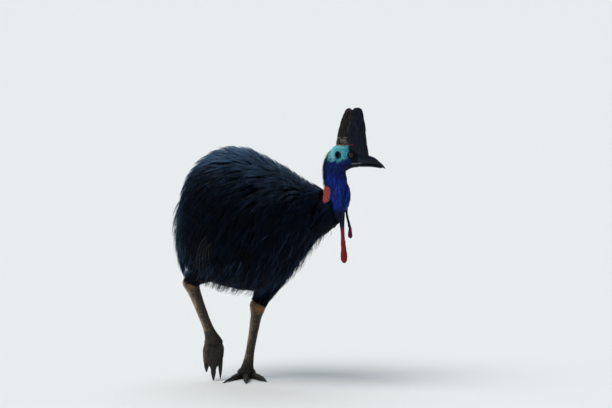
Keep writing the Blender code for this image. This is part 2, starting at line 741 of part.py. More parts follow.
def build_upper_bill(finish):
    """The bill's upper half with its nostrils."""
    bill = lofted("bill_upper", head_rings(bill_profile(UPPER_BILL, 12), 12), finish)
    places = [head_point(NOSTRIL[0], side * NOSTRIL[1], NOSTRIL[2]) for side in (-1, 1)]
    nostrils = [ball_object("nostril", place, head_axes(*NOSTRIL_HALF), rings=6, sides=8) for place in places]
    combine(bill, nostrils, "DIFFERENCE")
    return bill


def build_lower_bill(finish):
    """The bill's lower half."""
    return lofted("bill_lower", head_rings(bill_profile(LOWER_BILL, 12), 12), finish)


def build_wattle(name, stations, side, finish):
    """One flat hanging wattle, its root cut to lie on the throat."""
    read = evenly(stations, 15)
    middle, half = (read[:, 1] + read[:, 2]) / 2, (read[:, 2:3] - read[:, 1:2]) / 2
    turn = math.radians(WATTLE_TURN)
    ahead = np.array([math.cos(turn), math.sin(turn), 0.0])
    left = np.array([-math.sin(turn), math.cos(turn), 0.0])
    centres = turned(middle, side * WATTLE_SIDE, read[:, 0], float(WATTLE_TURN))
    wattle = lofted(name, loft(centres, ahead * half, left * half * WATTLE_FLATNESS, 10), finish)
    combine(wattle, [lofted("throat_room", neck_only(GAP))], "DIFFERENCE")
    return wattle


def thigh_line(root, ankle, shares):
    """The middle, the coat's radius and the side and front directions of a thigh at shares of its length."""
    root, ankle = np.asarray(root, float), np.asarray(ankle, float)
    along = unit(ankle - root)
    side = unit(np.cross(along, [0.0, 1.0, 0.0]))
    radii = np.array(THIGH_COAT_RADII)[:, None]
    size = spline(radii, np.asarray(shares) * (len(radii) - 1))
    return root + (ankle - root) * np.asarray(shares)[:, None], size, side, np.cross(along, side)


def thigh_shares():
    """Places of a thigh's rings: its root inside the body, then the part that shows."""
    return np.concatenate([
        np.linspace(0, THIGH_ROOT_SHARE, 4), np.linspace(THIGH_ROOT_SHARE + 0.08, 1, 8),
    ])


def thigh_room(name, root, ankle, grow):
    """The room that a thigh's root and coat take in the body."""
    shares = thigh_shares()
    middle, size, side, front = thigh_line(root, ankle, shares)
    rings = loft(middle, side * (size + grow), front * (size + grow), 14)
    rings[0] -= unit(np.asarray(ankle) - np.asarray(root)) * GAP
    return lofted(name, rings)


def thigh_locks(root, ankle, rng):
    """Locks that rise from a thigh's core and lie along it, down to the ankle."""
    made = []
    for number in range(THIGH_LOCKS):
        start = THIGH_ROOT_SHARE + (THIGH_LAST_LOCK - THIGH_ROOT_SHARE) * (number + 0.5) / THIGH_LOCKS
        turn = number * math.pi * (3 - math.sqrt(5))
        end = min(start + rng.uniform(0.34, 0.42), 1.0)
        shares = np.linspace(start, end, len(THIGH_LOCK_RISE))
        middle, size, side, front = thigh_line(root, ankle, shares)
        rise = np.array(THIGH_LOCK_RISE)[:, None]
        out = side * math.cos(turn) + front * math.sin(turn)
        path = middle + out * (size * rise - LOCK_THICKNESS)
        width = 0.42 * size.mean() + 0.004
        made.append(lock_object(path, np.tile(out, (len(path), 1)), width, LOCK_THICKNESS * 0.7))
    return made


def build_thigh(name, root, ankle, ball, finish, rng):
    """The drumstick: a root as thick as the coat inside the body, then a core with locks down to the ankle."""
    shares = thigh_shares()
    middle, size, side, front = thigh_line(root, ankle, shares)
    size = size * np.where(shares > THIGH_ROOT_SHARE, THIGH_CORE_SHARE, 1.0)[:, None]
    size[-2:] = size[-2:] / THIGH_CORE_SHARE * 0.8
    thigh = lofted(name, loft(middle, side * size, front * size, 14), finish)
    combine(thigh, thigh_locks(root, ankle, rng), "UNION")
    combine(thigh, [lofted("ankle_room", shank_rings(ankle, ball, GAP))], "DIFFERENCE")
    return thigh


def foot_frame():
    """Forward and left of both feet, level."""
    turn = math.radians(FOOT_HEADING)
    return np.array([math.cos(turn), math.sin(turn), 0.0]), np.array([-math.sin(turn), math.cos(turn), 0.0])


def with_scutes(stations, scutes, shares):
    """Stations read at both edges of each scute, and how far its front stands out there."""
    first, last = shares
    places = np.linspace(first, last, scutes + 1)
    sliver = 0.04 * (places[1] - places[0])
    edges = np.stack([places[:-1] + sliver, places[1:] - sliver], -1).reshape(-1)
    raised = np.tile([SCUTE_STEP, 0.0], scutes)
    plain_before = np.arange(0, first, 1.0)
    plain_after = np.linspace(last, len(stations) - 1, 3)[1:]
    reads = np.concatenate([plain_before, edges, plain_after])
    lifts = np.concatenate([0 * plain_before, raised, 0 * plain_after])
    return spline(stations, reads), lifts[:, None]


def shank_rings(ankle, ball, grow=0.0):
    """Rings of the bare shank from above the ankle to the ball of the foot, scutes down its front."""
    ankle, ball = np.asarray(ankle, float), np.asarray(ball, float)
    read, lift = with_scutes(SHANK_STATIONS, SHANK_SCUTES, (3.4, 9.2))
    along = unit(ball - ankle)
    ahead, left = foot_frame()
    side = unit(left - along * (left @ along))
    front = unit(np.cross(side, along))
    front *= np.sign(front @ ahead)
    centres = ankle + (ball - ankle) * read[:, :1] + front * lift / 2
    return loft(centres, front * (read[:, 2:3] + lift / 2 + grow), side * (read[:, 1:2] + grow), 10)


def ball_axes(grow=0.0):
    """Half axes of the ball of the foot."""
    ahead, left = foot_frame()
    return np.stack([left * (BALL_HALF[1] + grow), ahead * (BALL_HALF[0] + grow), UP * (BALL_HALF[2] + grow)])


def build_shank(name, ankle, ball, finish):
    """The ankle, the shank and the ball of the foot."""
    shank = lofted(name, shank_rings(ankle, ball), finish)
    combine(shank, [ball_object("pad", ball, ball_axes(), rings=8, sides=14)], "UNION")
    flatten(shank)
    return shank


def toe_turns(label, mirror, hanging, shares):
    """Directions along a toe and its claw at shares of the toe's length, and across and above it."""
    _, _, place, spread = TOES[label]
    ahead, left = foot_frame()
    sway = math.radians(spread * (HANGING_SPREAD if hanging else 1.0)) * place * mirror
    heading = ahead * math.cos(sway) + left * math.sin(sway)
    across = np.cross(UP, heading)
    steep = np.interp(shares, (0, 1, 1.33), HANGING_STEEPNESS if hanging else (0, 0, 0))
    steep = np.radians(steep)[:, None]
    along = heading * np.cos(steep) - UP * np.sin(steep)
    above = heading * np.sin(steep) + UP * np.cos(steep)
    return along, across, above


def toe_line(label, ball, mirror, hanging, shares):
    """The middle line of a toe and its claw at shares of the toe's length, 0 at the ball."""
    length, _, place, _ = TOES[label]
    _, left = foot_frame()
    start = np.asarray(ball, float) + left * place * mirror * TOE_OFFSET
    fine = np.linspace(0, max(shares[-1], 1e-6), 200)
    along = toe_turns(label, mirror, hanging, fine)[0]
    walked = np.concatenate([np.zeros((1, 3)), np.cumsum((along[1:] + along[:-1]) / 2, 0)]) * length * fine[1]
    return start + np.stack([np.interp(shares, fine, walked[:, axis]) for axis in range(3)], -1)


def hanging_depth():
    """How far the lifted foot's middle claw reaches below the ball of the foot."""
    length, claw, _, _ = TOES["middle"]
    end = np.array([0.0, 1 + claw / length])
    return -toe_line("middle", np.zeros(3), 1, True, end)[-1, 2]


def build_toe(label, side_name, ball, mirror, hanging, finish, claw_finish):
    """One scaled toe and its claw, flat on the floor or hanging."""
    length, claw, _, _ = TOES[label]
    places = np.linspace(0.0, 1.0, TOE_SCUTES + 1)
    sliver = 0.06 / TOE_SCUTES
    shares = np.stack([places[:-1] + sliver, places[1:] - sliver], -1).reshape(-1)
    shares[0], shares[-1] = 0.0, 1.0 - GAP / length
    lift = np.tile([SCUTE_STEP, 0.0], TOE_SCUTES)[:, None]
    along, across, above = toe_turns(label, mirror, hanging, shares)
    line = toe_line(label, ball, mirror, hanging, shares)
    shrink = 1 - TOE_TAPER * shares[:, None] ** 1.5
    high, wide = TOE_HALF_HEIGHT * shrink, TOE_HALF_WIDTH * shrink
    if not hanging:
        line[:, 2:] = high * 0.80
    rings = loft(line + above * lift / 2, above * (high + lift / 2), across * wide, 10, 2.6)
    toe = lofted(f"toe_{label}_{side_name}", rings, finish)
    combine(toe, [ball_object("ball_room", ball, ball_axes(GAP), rings=8, sides=14)], "DIFFERENCE")
    flatten(toe)
    share = np.linspace(0, 1, 5)
    shares = 1 + share * claw / length
    along, across, above = toe_turns(label, mirror, hanging, shares)
    line = toe_line(label, ball, mirror, hanging, shares)
    size = (CLAW_HALF - (CLAW_HALF - CLAW_TIP) * share**1.2)[:, None]
    if not hanging:
        line[:, 2:] = size * 1.25 + 0.0015 * np.sin(math.pi * share)[:, None]
    rings = loft(line, above * size * 1.25, across * size, 7)
    horn = lofted(f"claw_{label}_{side_name}", rings, claw_finish)
    flatten(horn)
    return toe, horn


def main():
    """Builds every node of the model."""
    clear_scene()
    coat = paint("coat", COAT_BLACK, 0.5)
    skin = paint("neck_skin", SKIN_BLUE, 0.6)
    face = paint("face_skin", FACE_TURQUOISE, 0.6)
    red = paint("wattle", WATTLE_RED, 0.5)
    horn = paint("casque", CASQUE_BROWN, 0.5)
    beak = paint("bill", BILL_BLACK, 0.35)
    shaft = paint("quill", QUILL_BLACK, 0.4)
    leg = paint("leg_skin", LEG_BROWN, 0.6)
    foot = paint("foot_skin", FOOT_GREY, 0.6)
    claw = paint("claw", CLAW_BLACK, 0.35)
    amber = paint("eye", EYE_AMBER, 0.1)
    right_ball = (*RIGHT_BALL_PLAN, hanging_depth())
    torso = build_torso(coat)
    build_tail(coat)
    build_wing("wing_right", -1, shaft)
    build_wing("wing_left", 1, shaft)
    build_neck(skin)
    build_head(face)
    build_casque(horn)
    build_upper_bill(beak)
    build_lower_bill(beak)
    build_eye("eye_right", -1, amber)
    build_eye("eye_left", 1, amber)
    build_wattle("wattle_right", RIGHT_WATTLE, -1, red)
    build_wattle("wattle_left", LEFT_WATTLE, 1, red)
    rng = np.random.default_rng(LOCK_SEED + 1)
    build_thigh("thigh_left", LEFT_THIGH_ROOT, LEFT_ANKLE, LEFT_BALL, coat, rng)
    build_thigh("thigh_right", RIGHT_THIGH_ROOT, RIGHT_ANKLE, right_ball, coat, rng)
    rooms = [
        lofted("neck_room", neck_only(GAP)),
        thigh_room("left_thigh_room", LEFT_THIGH_ROOT, LEFT_ANKLE, GAP),
        thigh_room("right_thigh_room", RIGHT_THIGH_ROOT, RIGHT_ANKLE, GAP),
        lofted("right_ankle_room", shank_rings(RIGHT_ANKLE, right_ball, LOCK_CLEARANCE)),
        lofted("left_ankle_room", shank_rings(LEFT_ANKLE, LEFT_BALL, LOCK_CLEARANCE)),
        tail_ball("tail_room", GAP),
        *tail_locks(LOCK_CLEARANCE),
        wing_ball("right_wing_room", -1, GAP),
        wing_ball("left_wing_room", 1, GAP),
        quill_room(-1),
        quill_room(1),
    ]
    combine(torso, rooms, "DIFFERENCE")
    build_shank("shank_left", LEFT_ANKLE, LEFT_BALL, leg)
    build_shank("shank_right", RIGHT_ANKLE, right_ball, leg)
    for label in TOES:
        build_toe(label, "left", LEFT_BALL, 1, False, foot, claw)
        build_toe(label, "right", right_ball, -1, True, foot, claw)


main()
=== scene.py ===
"""Looks of a life-size southern cassowary in mid stride: plumage, bare skin, horn, eyes, wattles and scaled
legs.

Everything is in metres, in the frame of the solids: +X is the way the body faces, +Y is the bird's left, +Z
is up.
The body is an egg that is described by a level, 0 at its middle and 1 on the outer surface of the coat. The
neck
and the head are described by rings in an upright plane that turns slowly to the bird's left on its way up.
"""

import logging
import math
from dataclasses import dataclass, field, replace
from enum import Enum

import bpy
import numpy as np
import numpy.typing as npt
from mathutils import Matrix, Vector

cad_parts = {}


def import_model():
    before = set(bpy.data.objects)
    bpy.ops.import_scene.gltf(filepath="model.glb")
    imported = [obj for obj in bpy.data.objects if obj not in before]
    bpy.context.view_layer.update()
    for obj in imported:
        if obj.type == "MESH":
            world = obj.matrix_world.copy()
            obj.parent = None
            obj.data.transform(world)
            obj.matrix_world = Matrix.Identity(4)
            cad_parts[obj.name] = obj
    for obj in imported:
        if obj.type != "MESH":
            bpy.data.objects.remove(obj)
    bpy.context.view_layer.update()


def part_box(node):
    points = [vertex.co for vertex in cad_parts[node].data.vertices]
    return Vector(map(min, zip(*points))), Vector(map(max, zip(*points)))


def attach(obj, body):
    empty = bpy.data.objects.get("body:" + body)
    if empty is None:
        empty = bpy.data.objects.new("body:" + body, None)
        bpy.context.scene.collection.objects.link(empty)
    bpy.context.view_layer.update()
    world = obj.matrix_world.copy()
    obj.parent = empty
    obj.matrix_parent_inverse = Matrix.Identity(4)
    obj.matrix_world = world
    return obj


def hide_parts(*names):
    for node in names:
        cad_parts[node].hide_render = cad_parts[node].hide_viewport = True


Array = npt.NDArray[np.float64]
Indices = npt.NDArray[np.int64]
Colour = tuple[float, float, float]

LOG = logging.getLogger("cassowary")
BODY = "root"
UP = np.array([0.0, 0.0, 1.0])
GOLDEN_TURN = math.pi * (3 - math.sqrt(5))
BAKE_MAP = "OFBake"
BAKE_PATCH = 0.003
MOST_TRIANGLES = 190_000


class Side(Enum):
    """The bird's left or right, as the sign of Y."""

    LEFT = 1
    RIGHT = -1

    @property
    def word(self) -> str:
        """The side's name as it stands in the names of nodes."""
        return self.name.lower()


class Slot(Enum):
    """Material slots."""

    COAT = "coat"
    QUILL = "quill"
    NECK_SKIN = "neck_skin"
    CASQUE = "casque"
    BILL = "bill"
    EYE = "eye"
    WATTLE = "wattle"
    LEG_SKIN = "leg_skin"
    FOOT_SKIN = "foot_skin"
    CLAW = "claw"


def unit(vectors: Array) -> Array:
    """Vectors scaled to length one."""
    return vectors / np.linalg.norm(vectors, axis=-1, keepdims=True)


def ease(low: float, high: float, values: Array) -> Array:
    """0 below low, 1 above high and the smooth cubic 3s2 - 2s3 between them; low may be the larger."""
    share = np.clip((values - low) / (high - low), 0.0, 1.0)
    return share * share * (3 - 2 * share)


def hump(values: Array, width: float) -> Array:
    """A bell, 1 at 0, that falls to about a third at width: exp(-(v / w)2)."""
    return np.exp(-((values / width) ** 2))


def spline(stations: Array, places: Array) -> Array:
    """Rows of stations joined by a cubic through each of them, whose slope at a row is half the step between
    its neighbours.

    Args:
        stations: the rows, one for each station.
        places: where to read, counted in stations from 0.

    Returns:
        One row for each place.
    """
    last = len(stations) - 1
    places = np.clip(np.asarray(places, float), 0, last)
    before = np.minimum(places.astype(int), last - 1)
    share = (places - before)[:, None]
    near, far = stations[before], stations[before + 1]
    leave = (far - stations[np.maximum(before - 1, 0)]) / 2
    arrive = (stations[np.minimum(before + 2, last)] - near) / 2
    return (
        (2 * share**3 - 3 * share**2 + 1) * near
        + (share**3 - 2 * share**2 + share) * leave
        + (3 * share**2 - 2 * share**3) * far
        + (share**3 - share**2) * arrive
    )


def evenly(stations: Array, count: int) -> Array:
    """Stations read at a number of even places from the first to the last."""
    return spline(stations, np.linspace(0, len(stations) - 1, count))


def scatter(cells: Indices, seed: int) -> Array:
    """A fixed number from -1 to 1 for each lattice cell: its indices are multiplied by large odd numbers,
    mixed
    by exclusive or, and the low bits of the result are read as a fraction."""
    mixed = (cells[..., 0] * 73856093) ^ (cells[..., 1] * 19349663) ^ (
        cells[..., 2] * 83492791
    ) ^ (seed * 9781)
    mixed = (mixed ^ (mixed >> 13)) * 1274126177
    mixed = mixed ^ (mixed >> 16)
    return (mixed & 0xFFFFF) / 0x80000 - 1.0


def grain(points: Array, size: float, seed: int = 0) -> Array:
    """Smooth noise from -1 to 1: the numbers of the eight lattice corners round a point, blended by the cubic
    3s2 - 2s3 along each axis.

    Args:
        points: where to read.
        size: the lattice's step in the points' own unit.
        seed: another number gives another pattern.

    Returns:
        One value for each point.
    """
    spot = points / size
    cell = np.floor(spot).astype(np.int64)
    share = spot - cell
    share = share * share * (3 - 2 * share)
    total = np.zeros(points.shape[:-1])
    for corner in np.ndindex(2, 2, 2):
        weight = np.where(np.array(corner) == 1, share, 1 - share).prod(-1)
        total += weight * scatter(cell + np.array(corner), seed)
    return total


def creases(points: Array, size: float, seed: int = 0) -> Array:
    """Folds with sharp valleys: 1 minus twice the size of the noise, on two scales."""
    coarse = 1 - 2 * np.abs(grain(points, size, seed))
    fine = 1 - 2 * np.abs(grain(points, size * 0.45, seed + 1))
    return 0.7 * coarse + 0.3 * fine


def ring_faces(count: int, sides: int) -> Indices:
    """Triangles of the walls between rings, followed by fans to two poles that stand after the rings' points.
    """
    ring, side = np.meshgrid(np.arange(count - 1), np.arange(sides), indexing="ij")
    here, beside = ring * sides + side, ring * sides + (side + 1) % sides
    walls = np.concatenate([
        np.stack([here, beside, beside + sides], -1).reshape(-1, 3),
        np.stack([here, beside + sides, here + sides], -1).reshape(-1, 3),
    ])
    edge = np.arange(sides)
    first, last = count * sides, count * sides + 1
    start = np.stack([(edge + 1) % sides, edge, np.full(sides, first)], -1)
    top = (count - 1) * sides
    end = np.stack([top + edge, top + (edge + 1) % sides, np.full(sides, last)], -1)
    return np.concatenate([walls, start, end])


def outward(points: Array, faces: Indices) -> Indices:
    """Faces turned, if need be, so that the volume they enclose is positive."""
    corners = points[faces]
    volume = np.einsum("ij,ij->i", corners[:, 0], np.cross(corners[:, 1], corners[:, 2])).sum()
    return faces[:, ::-1] if volume < 0 else faces


def add_mesh(name: str, points: Array, faces: Indices) -> bpy.types.Object:
    """A smooth mesh object at the origin from arrays of points and triangles."""
    mesh = bpy.data.meshes.new(name)
    mesh.vertices.add(len(points))
    mesh.vertices.foreach_set("co", points.astype(np.float32).ravel())
    mesh.loops.add(faces.size)
    mesh.loops.foreach_set("vertex_index", faces.astype(np.int32).ravel())
    mesh.polygons.add(len(faces))
    mesh.polygons.foreach_set("loop_start", np.arange(0, faces.size, 3, dtype=np.int32))
    mesh.update(calc_edges=True)
    mesh.shade_smooth()
    made = bpy.data.objects.new(name, mesh)
    bpy.context.scene.collection.objects.link(made)
    return made


def tube(name: str, rings: Array) -> bpy.types.Object:
    """A closed surface through rings of points, each end closed by a fan to its own middle."""
    count, sides = rings.shape[:2]
    poles = np.stack([rings[0].mean(0), rings[-1].mean(0)])
    points = np.concatenate([rings.reshape(-1, 3), poles])
    return add_mesh(name, points, outward(points, ring_faces(count, sides)))


def hoop(name: str, rings: Array) -> bpy.types.Object:
    """A closed ring-shaped surface: the last ring of points joins the first."""
    count, sides = rings.shape[:2]
    ring, side = np.meshgrid(np.arange(count), np.arange(sides), indexing="ij")
    here, beside = ring * sides + side, ring * sides + (side + 1) % sides
    after = (ring + 1) % count
    next_here, next_beside = after * sides + side, after * sides + (side + 1) % sides
    faces = np.concatenate([
        np.stack([here, beside, next_beside], -1).reshape(-1, 3),
        np.stack([here, next_beside, next_here], -1).reshape(-1, 3),
    ])
    points = rings.reshape(-1, 3)
    return add_mesh(name, points, outward(points, faces))


def loft(centres: Array, ups: Array, sideways: Array, sides: int, power: float = 2.0) -> Array:
    """Rings round centres: centre + up cos + sideways sin, where cosine and sine are raised to 2 / power with
    their sign kept, so that a power above 2 makes a squarer ring."""
    turn = np.arange(sides) * 2 * math.pi / sides
    along = np.sign(np.cos(turn)) * np.abs(np.cos(turn)) ** (2 / power)
    across = np.sign(np.sin(turn)) * np.abs(np.sin(turn)) ** (2 / power)
    return (
        centres[:, None, :]
        + ups[:, None, :] * along[None, :, None]
        + sideways[:, None, :] * across[None, :, None]
    )


def ball(name: str, centre: Array, axes: Array, rings: int = 24, sides: int = 32) -> bpy.types.Object:
    """An ellipsoid whose half axes are the rows of axes: rings of radius sin(a) at cos(a) along the first."""
    turn = np.linspace(0, math.pi, rings + 2)[1:-1]
    middles = centre + np.cos(turn)[:, None] * axes[0]
    shell = loft(middles, np.sin(turn)[:, None] * axes[1], np.sin(turn)[:, None] * axes[2], sides)
    points = np.concatenate([shell.reshape(-1, 3), centre + axes[:1], centre - axes[:1]])
    return add_mesh(name, points, outward(points, ring_faces(rings, sides)))


def normals_of(rings: Array) -> Array:
    """Outward unit normals of a grid of rings, from the cross product of its two central differences."""
    along = np.gradient(rings, axis=0)
    around = np.roll(rings, -1, axis=1) - np.roll(rings, 1, axis=1)
    normal = unit(np.cross(around, along) + 1e-12)
    away = rings - rings.mean(axis=1, keepdims=True)
    return normal * np.sign((normal * away).sum(-1).sum() + 1e-12)


def fuse(body: bpy.types.Object, pieces: list[bpy.types.Object]) -> None:
    """Joins closed pieces to a body by one Boolean union, applies it and removes the pieces."""
    group = bpy.data.collections.new("pieces")
    for piece in pieces:
        group.objects.link(piece)
    step = body.modifiers.new("union", "BOOLEAN")
    step.operation = "UNION"
    step.operand_type = "COLLECTION"
    step.collection = group
    step.solver = "MANIFOLD"
    graph = bpy.context.evaluated_depsgraph_get()
    joined = bpy.data.meshes.new_from_object(body.evaluated_get(graph))
    body.modifiers.clear()
    body.data = joined
    for piece in pieces:
        bpy.data.objects.remove(piece)
    bpy.data.collections.remove(group)
    joined.shade_smooth()


def points_of(piece: bpy.types.Object) -> Array:
    """The places of a mesh's vertices."""
    flat = np.empty(len(piece.data.vertices) * 3, np.float32)
    piece.data.vertices.foreach_get("co", flat)
    return flat.reshape(-1, 3).astype(float)


def mark(piece: bpy.types.Object, name: str, values: Array) -> None:
    """Stores one number for each vertex, for a material to read."""
    layer = piece.data.attributes.new(name, "FLOAT", "POINT")
    layer.data.foreach_set("value", np.asarray(values, np.float32).ravel())


def place(piece: bpy.types.Object, finish: bpy.types.Material, slot: Slot, *nodes: str) -> None:
    """Gives a piece its finish and its body, and lets it stand for the solids that it replaces."""
    piece.data.materials.clear()
    piece.data.materials.append(finish)
    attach(piece, BODY)
    if nodes:
        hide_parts(*nodes)
    LOG.info("%s: %d triangles", piece.name, len(piece.data.loop_triangles) or len(piece.data.polygons))


class Nodes:
    """A short way to wire one material's shader nodes."""

    def __init__(self, name: str) -> None:
        """Starts a material with its Principled shader."""
        self.material = bpy.data.materials.new(name)
        self.material.use_nodes = True
        self.tree = self.material.node_tree
        self.shader = self.tree.nodes["Principled BSDF"]
        self.coordinates = self.tree.nodes.new("ShaderNodeTexCoord").outputs["Object"]

    def set(self, **constants: float | tuple[float, ...]) -> None:
        """Sets plain values on the shader's own sockets, with underscores for the spaces in their names."""
        for name, value in constants.items():
            self.shader.inputs[name.replace("_", " ")].default_value = value

    def node(self, kind: str, **settings: object) -> bpy.types.Node:
        """A new node; a setting is a property of the node."""
        made = self.tree.nodes.new(kind)
        for name, value in settings.items():
            setattr(made, name, value)
        return made

    def link(self, output: bpy.types.NodeSocket, target: bpy.types.NodeSocket) -> None:
        """Joins an output to an input."""
        self.tree.links.new(output, target)

    def attribute(self, name: str) -> bpy.types.NodeSocket:
        """The number that each vertex carries under a name."""
        return self.node("ShaderNodeAttribute", attribute_name=name).outputs["Fac"]

    def stretched(self, scale: Colour, turn: Colour = (0.0, 0.0, 0.0)) -> bpy.types.NodeSocket:
        """Object coordinates turned and scaled along each axis."""
        mapping = self.node("ShaderNodeMapping")
        mapping.inputs["Scale"].default_value = scale
        mapping.inputs["Rotation"].default_value = turn
        self.link(self.coordinates, mapping.inputs["Vector"])
        return mapping.outputs["Vector"]

    def noise(
        self, scale: float, detail: float = 4.0, vector: bpy.types.NodeSocket | None = None
    ) -> bpy.types.NodeSocket:
        """Fractal noise about 0.5."""
        made = self.node("ShaderNodeTexNoise")
        made.inputs["Scale"].default_value = scale
        made.inputs["Detail"].default_value = detail
        self.link(vector or self.coordinates, made.inputs["Vector"])
        return made.outputs["Fac"]

    def cells(
        self, scale: float, edges: bool = False, vector: bpy.types.NodeSocket | None = None
    ) -> bpy.types.NodeSocket:
        """Distance to the nearest cell's middle, or to its edge."""
        made = self.node("ShaderNodeTexVoronoi", feature="DISTANCE_TO_EDGE" if edges else "F1")
        made.inputs["Scale"].default_value = scale
        self.link(vector or self.coordinates, made.inputs["Vector"])
        return made.outputs["Distance"]

    def ramp(self, value: bpy.types.NodeSocket, *stops: tuple[float, Colour]) -> bpy.types.NodeSocket:
        """A colour read from stops along a number."""
        made = self.node("ShaderNodeValToRGB")
        band = made.color_ramp
        while len(band.elements) < len(stops):
            band.elements.new(0.5)
        for element, (position, colour) in zip(band.elements, stops):
            element.position = position
            element.color = (*colour, 1.0)
        self.link(value, made.inputs["Fac"])
        return made.outputs["Color"]

    def range(
        self, value: bpy.types.NodeSocket, low: float, high: float, to_low: float, to_high: float
    ) -> bpy.types.NodeSocket:
        """A number moved from one range to another, held at its ends."""
        made = self.node("ShaderNodeMapRange")
        for name, number in (("From Min", low), ("From Max", high), ("To Min", to_low), ("To Max", to_high)):
            made.inputs[name].default_value = number
        self.link(value, made.inputs["Value"])
        return made.outputs["Result"]

    def math(
        self, operation: str, first: bpy.types.NodeSocket, second: bpy.types.NodeSocket | float
    ) -> bpy.types.NodeSocket:
        """Arithmetic on two numbers."""
        made = self.node("ShaderNodeMath", operation=operation)
        self.link(first, made.inputs[0])
        if isinstance(second, bpy.types.NodeSocket):
            self.link(second, made.inputs[1])
        else:
            made.inputs[1].default_value = second
        return made.outputs[0]

    def mix(
        self,
        share: bpy.types.NodeSocket | float,
        under: bpy.types.NodeSocket | Colour,
        over: bpy.types.NodeSocket | Colour,
        blend: str = "MIX",
    ) -> bpy.types.NodeSocket:
        """One colour laid over another by a share."""
        made = self.node("ShaderNodeMix", data_type="RGBA", blend_type=blend)
        for value, socket in ((share, made.inputs[0]), (under, made.inputs[6]), (over, made.inputs[7])):
            if isinstance(value, bpy.types.NodeSocket):
                self.link(value, socket)
            elif isinstance(value, tuple):
                socket.default_value = (*value, 1.0)
            else:
                socket.default_value = value
        return made.outputs[2]

    def bump(self, *layers: tuple[bpy.types.NodeSocket, float]) -> None:
        """Heights, each with its depth in metres, added up as bumps on the surface."""
        normal = None
        for height, depth in layers:
            made = self.node("ShaderNodeBump")
            made.inputs["Distance"].default_value = depth
            self.link(height, made.inputs["Height"])
            if normal:
                self.link(normal, made.inputs["Normal"])
            normal = made.outputs["Normal"]
        self.link(normal, self.shader.inputs["Normal"])

    def colour(self, value: bpy.types.NodeSocket) -> None:
        """Feeds the shader's colour."""
        self.link(value, self.shader.inputs["Base Color"])

    def roughness(self, value: bpy.types.NodeSocket) -> None:
        """Feeds the shader's roughness."""
        self.link(value, self.shader.inputs["Roughness"])


@dataclass(frozen=True)
class FeatherFinish:
    """Glossy black, hair-like plumage, brown black in a few feathers, with painted sky sheen: steel blue painted into
    the colour where it faces the sky, and a blue specular tint that paints the sky's colour into its reflections.
    """

    name: str
    shine: float
    # painted sheen: this steel blue stands for the sky's light on the top of the coat
    painted_sheen_steel: Colour = (0.0620, 0.1250, 0.2250)
    blue_black: Colour = (0.0046, 0.0104, 0.0270)
    black: Colour = (0.0010, 0.0017, 0.0042)
    brown_black: Colour = (0.0028, 0.0025, 0.0028)
    # painted reflection: a blue tint on the specular, for the sky's colour
    sheen: Colour = (0.45, 0.70, 1.00)
    gloss: float = 0.38

    def material(self) -> bpy.types.Material:
        """Colour by each strand's own tint and painted sheen, roughness varied over the body."""
        nodes = Nodes(self.name)
        # the ramp's low end, steel blue, is painted sky sheen
        stops = ((0.0, self.painted_sheen_steel), (0.36, self.blue_black), (0.68, self.black), (1.0, self.brown_black))
        nodes.colour(nodes.ramp(nodes.attribute("tint"), *stops))
        nodes.roughness(nodes.range(nodes.noise(9.0, 3.0), 0.3, 0.7, self.gloss - 0.06, self.gloss + 0.10))
        nodes.set(Specular_IOR_Level=self.shine, Specular_Tint=(*self.sheen, 1.0))
        return nodes.material


@dataclass(frozen=True)
class SkinFinish:
    """Bare wrinkled skin: deep blue neck, turquoise behind the eye, orange red nape and black face, with painted
    shade: black under the coat, in the ear's hollow and in the folds, and painted highlight streaks down the neck.
    """

    blue: Colour = (0.0014, 0.0090, 0.1350)
    painted_highlight_blue: Colour = (0.0060, 0.0560, 0.3900)
    violet: Colour = (0.0150, 0.0060, 0.0850)
    navy: Colour = (0.0040, 0.0070, 0.0260)
    turquoise: Colour = (0.0140, 0.3800, 0.4600)
    teal: Colour = (0.0080, 0.1700, 0.2400)
    pale: Colour = (0.2300, 0.5300, 0.5800)
    red: Colour = (0.6000, 0.0800, 0.0350)
    pink: Colour = (0.4600, 0.1500, 0.2000)
    black: Colour = (0.0016, 0.0050, 0.0110)
    gape: Colour = (0.2000, 0.2300, 0.2500)

    def material(self) -> bpy.types.Material:
        """Colours laid over each other by the skin's own masks, with wrinkles and pores as bump."""
        nodes = Nodes("bare_skin")
        mottle = nodes.noise(95.0, 5.0)
        streaks = nodes.noise(1.0, 5.0, nodes.stretched((150.0, 150.0, 38.0)))
        # painted highlight: lighter blue streaks down the neck
        blue = nodes.mix(nodes.range(streaks, 0.42, 0.72, 0.0, 0.85), self.blue, self.painted_highlight_blue)
        blue = nodes.mix(nodes.range(mottle, 0.50, 0.80, 0.0, 0.75), blue, self.violet)
        teal = nodes.mix(
            nodes.range(nodes.noise(70.0, 4.0), 0.44, 0.62, 0.0, 0.75), self.turquoise, self.teal
        )
        aqua = nodes.mix(nodes.range(mottle, 0.40, 0.70, 0.0, 0.50), teal, self.pale)
        aqua = nodes.mix(nodes.attribute("pallor"), aqua, self.pale)
        warm = nodes.mix(nodes.range(nodes.noise(160.0, 3.0), 0.38, 0.66, 0.0, 0.7), self.red, self.pink)
        colour = nodes.mix(nodes.attribute("navy"), blue, self.navy)
        colour = nodes.mix(nodes.attribute("turquoise"), colour, aqua)
        colour = nodes.mix(nodes.attribute("shade"), colour, self.navy)
        colour = nodes.mix(nodes.attribute("red"), colour, warm)
        # painted shade: dark in the folds' valleys and the front groove
        colour = nodes.mix(nodes.attribute("fold_shade"), colour, self.black)
        # the dark mask: the face's own black, with painted shade in the ear's hollow and under the coat
        colour = nodes.mix(nodes.attribute("dark"), colour, self.black)
        nodes.colour(nodes.mix(nodes.attribute("gape"), colour, self.gape))
        nodes.roughness(nodes.range(mottle, 0.3, 0.7, 0.40, 0.60))
        nodes.set(Specular_IOR_Level=0.10)
        wrinkles = nodes.cells(420.0, edges=True)
        nodes.bump((nodes.range(wrinkles, 0.0, 0.25, 0.0, 1.0), 0.0006), (nodes.noise(700.0, 4.0), 0.0004))
        return nodes.material


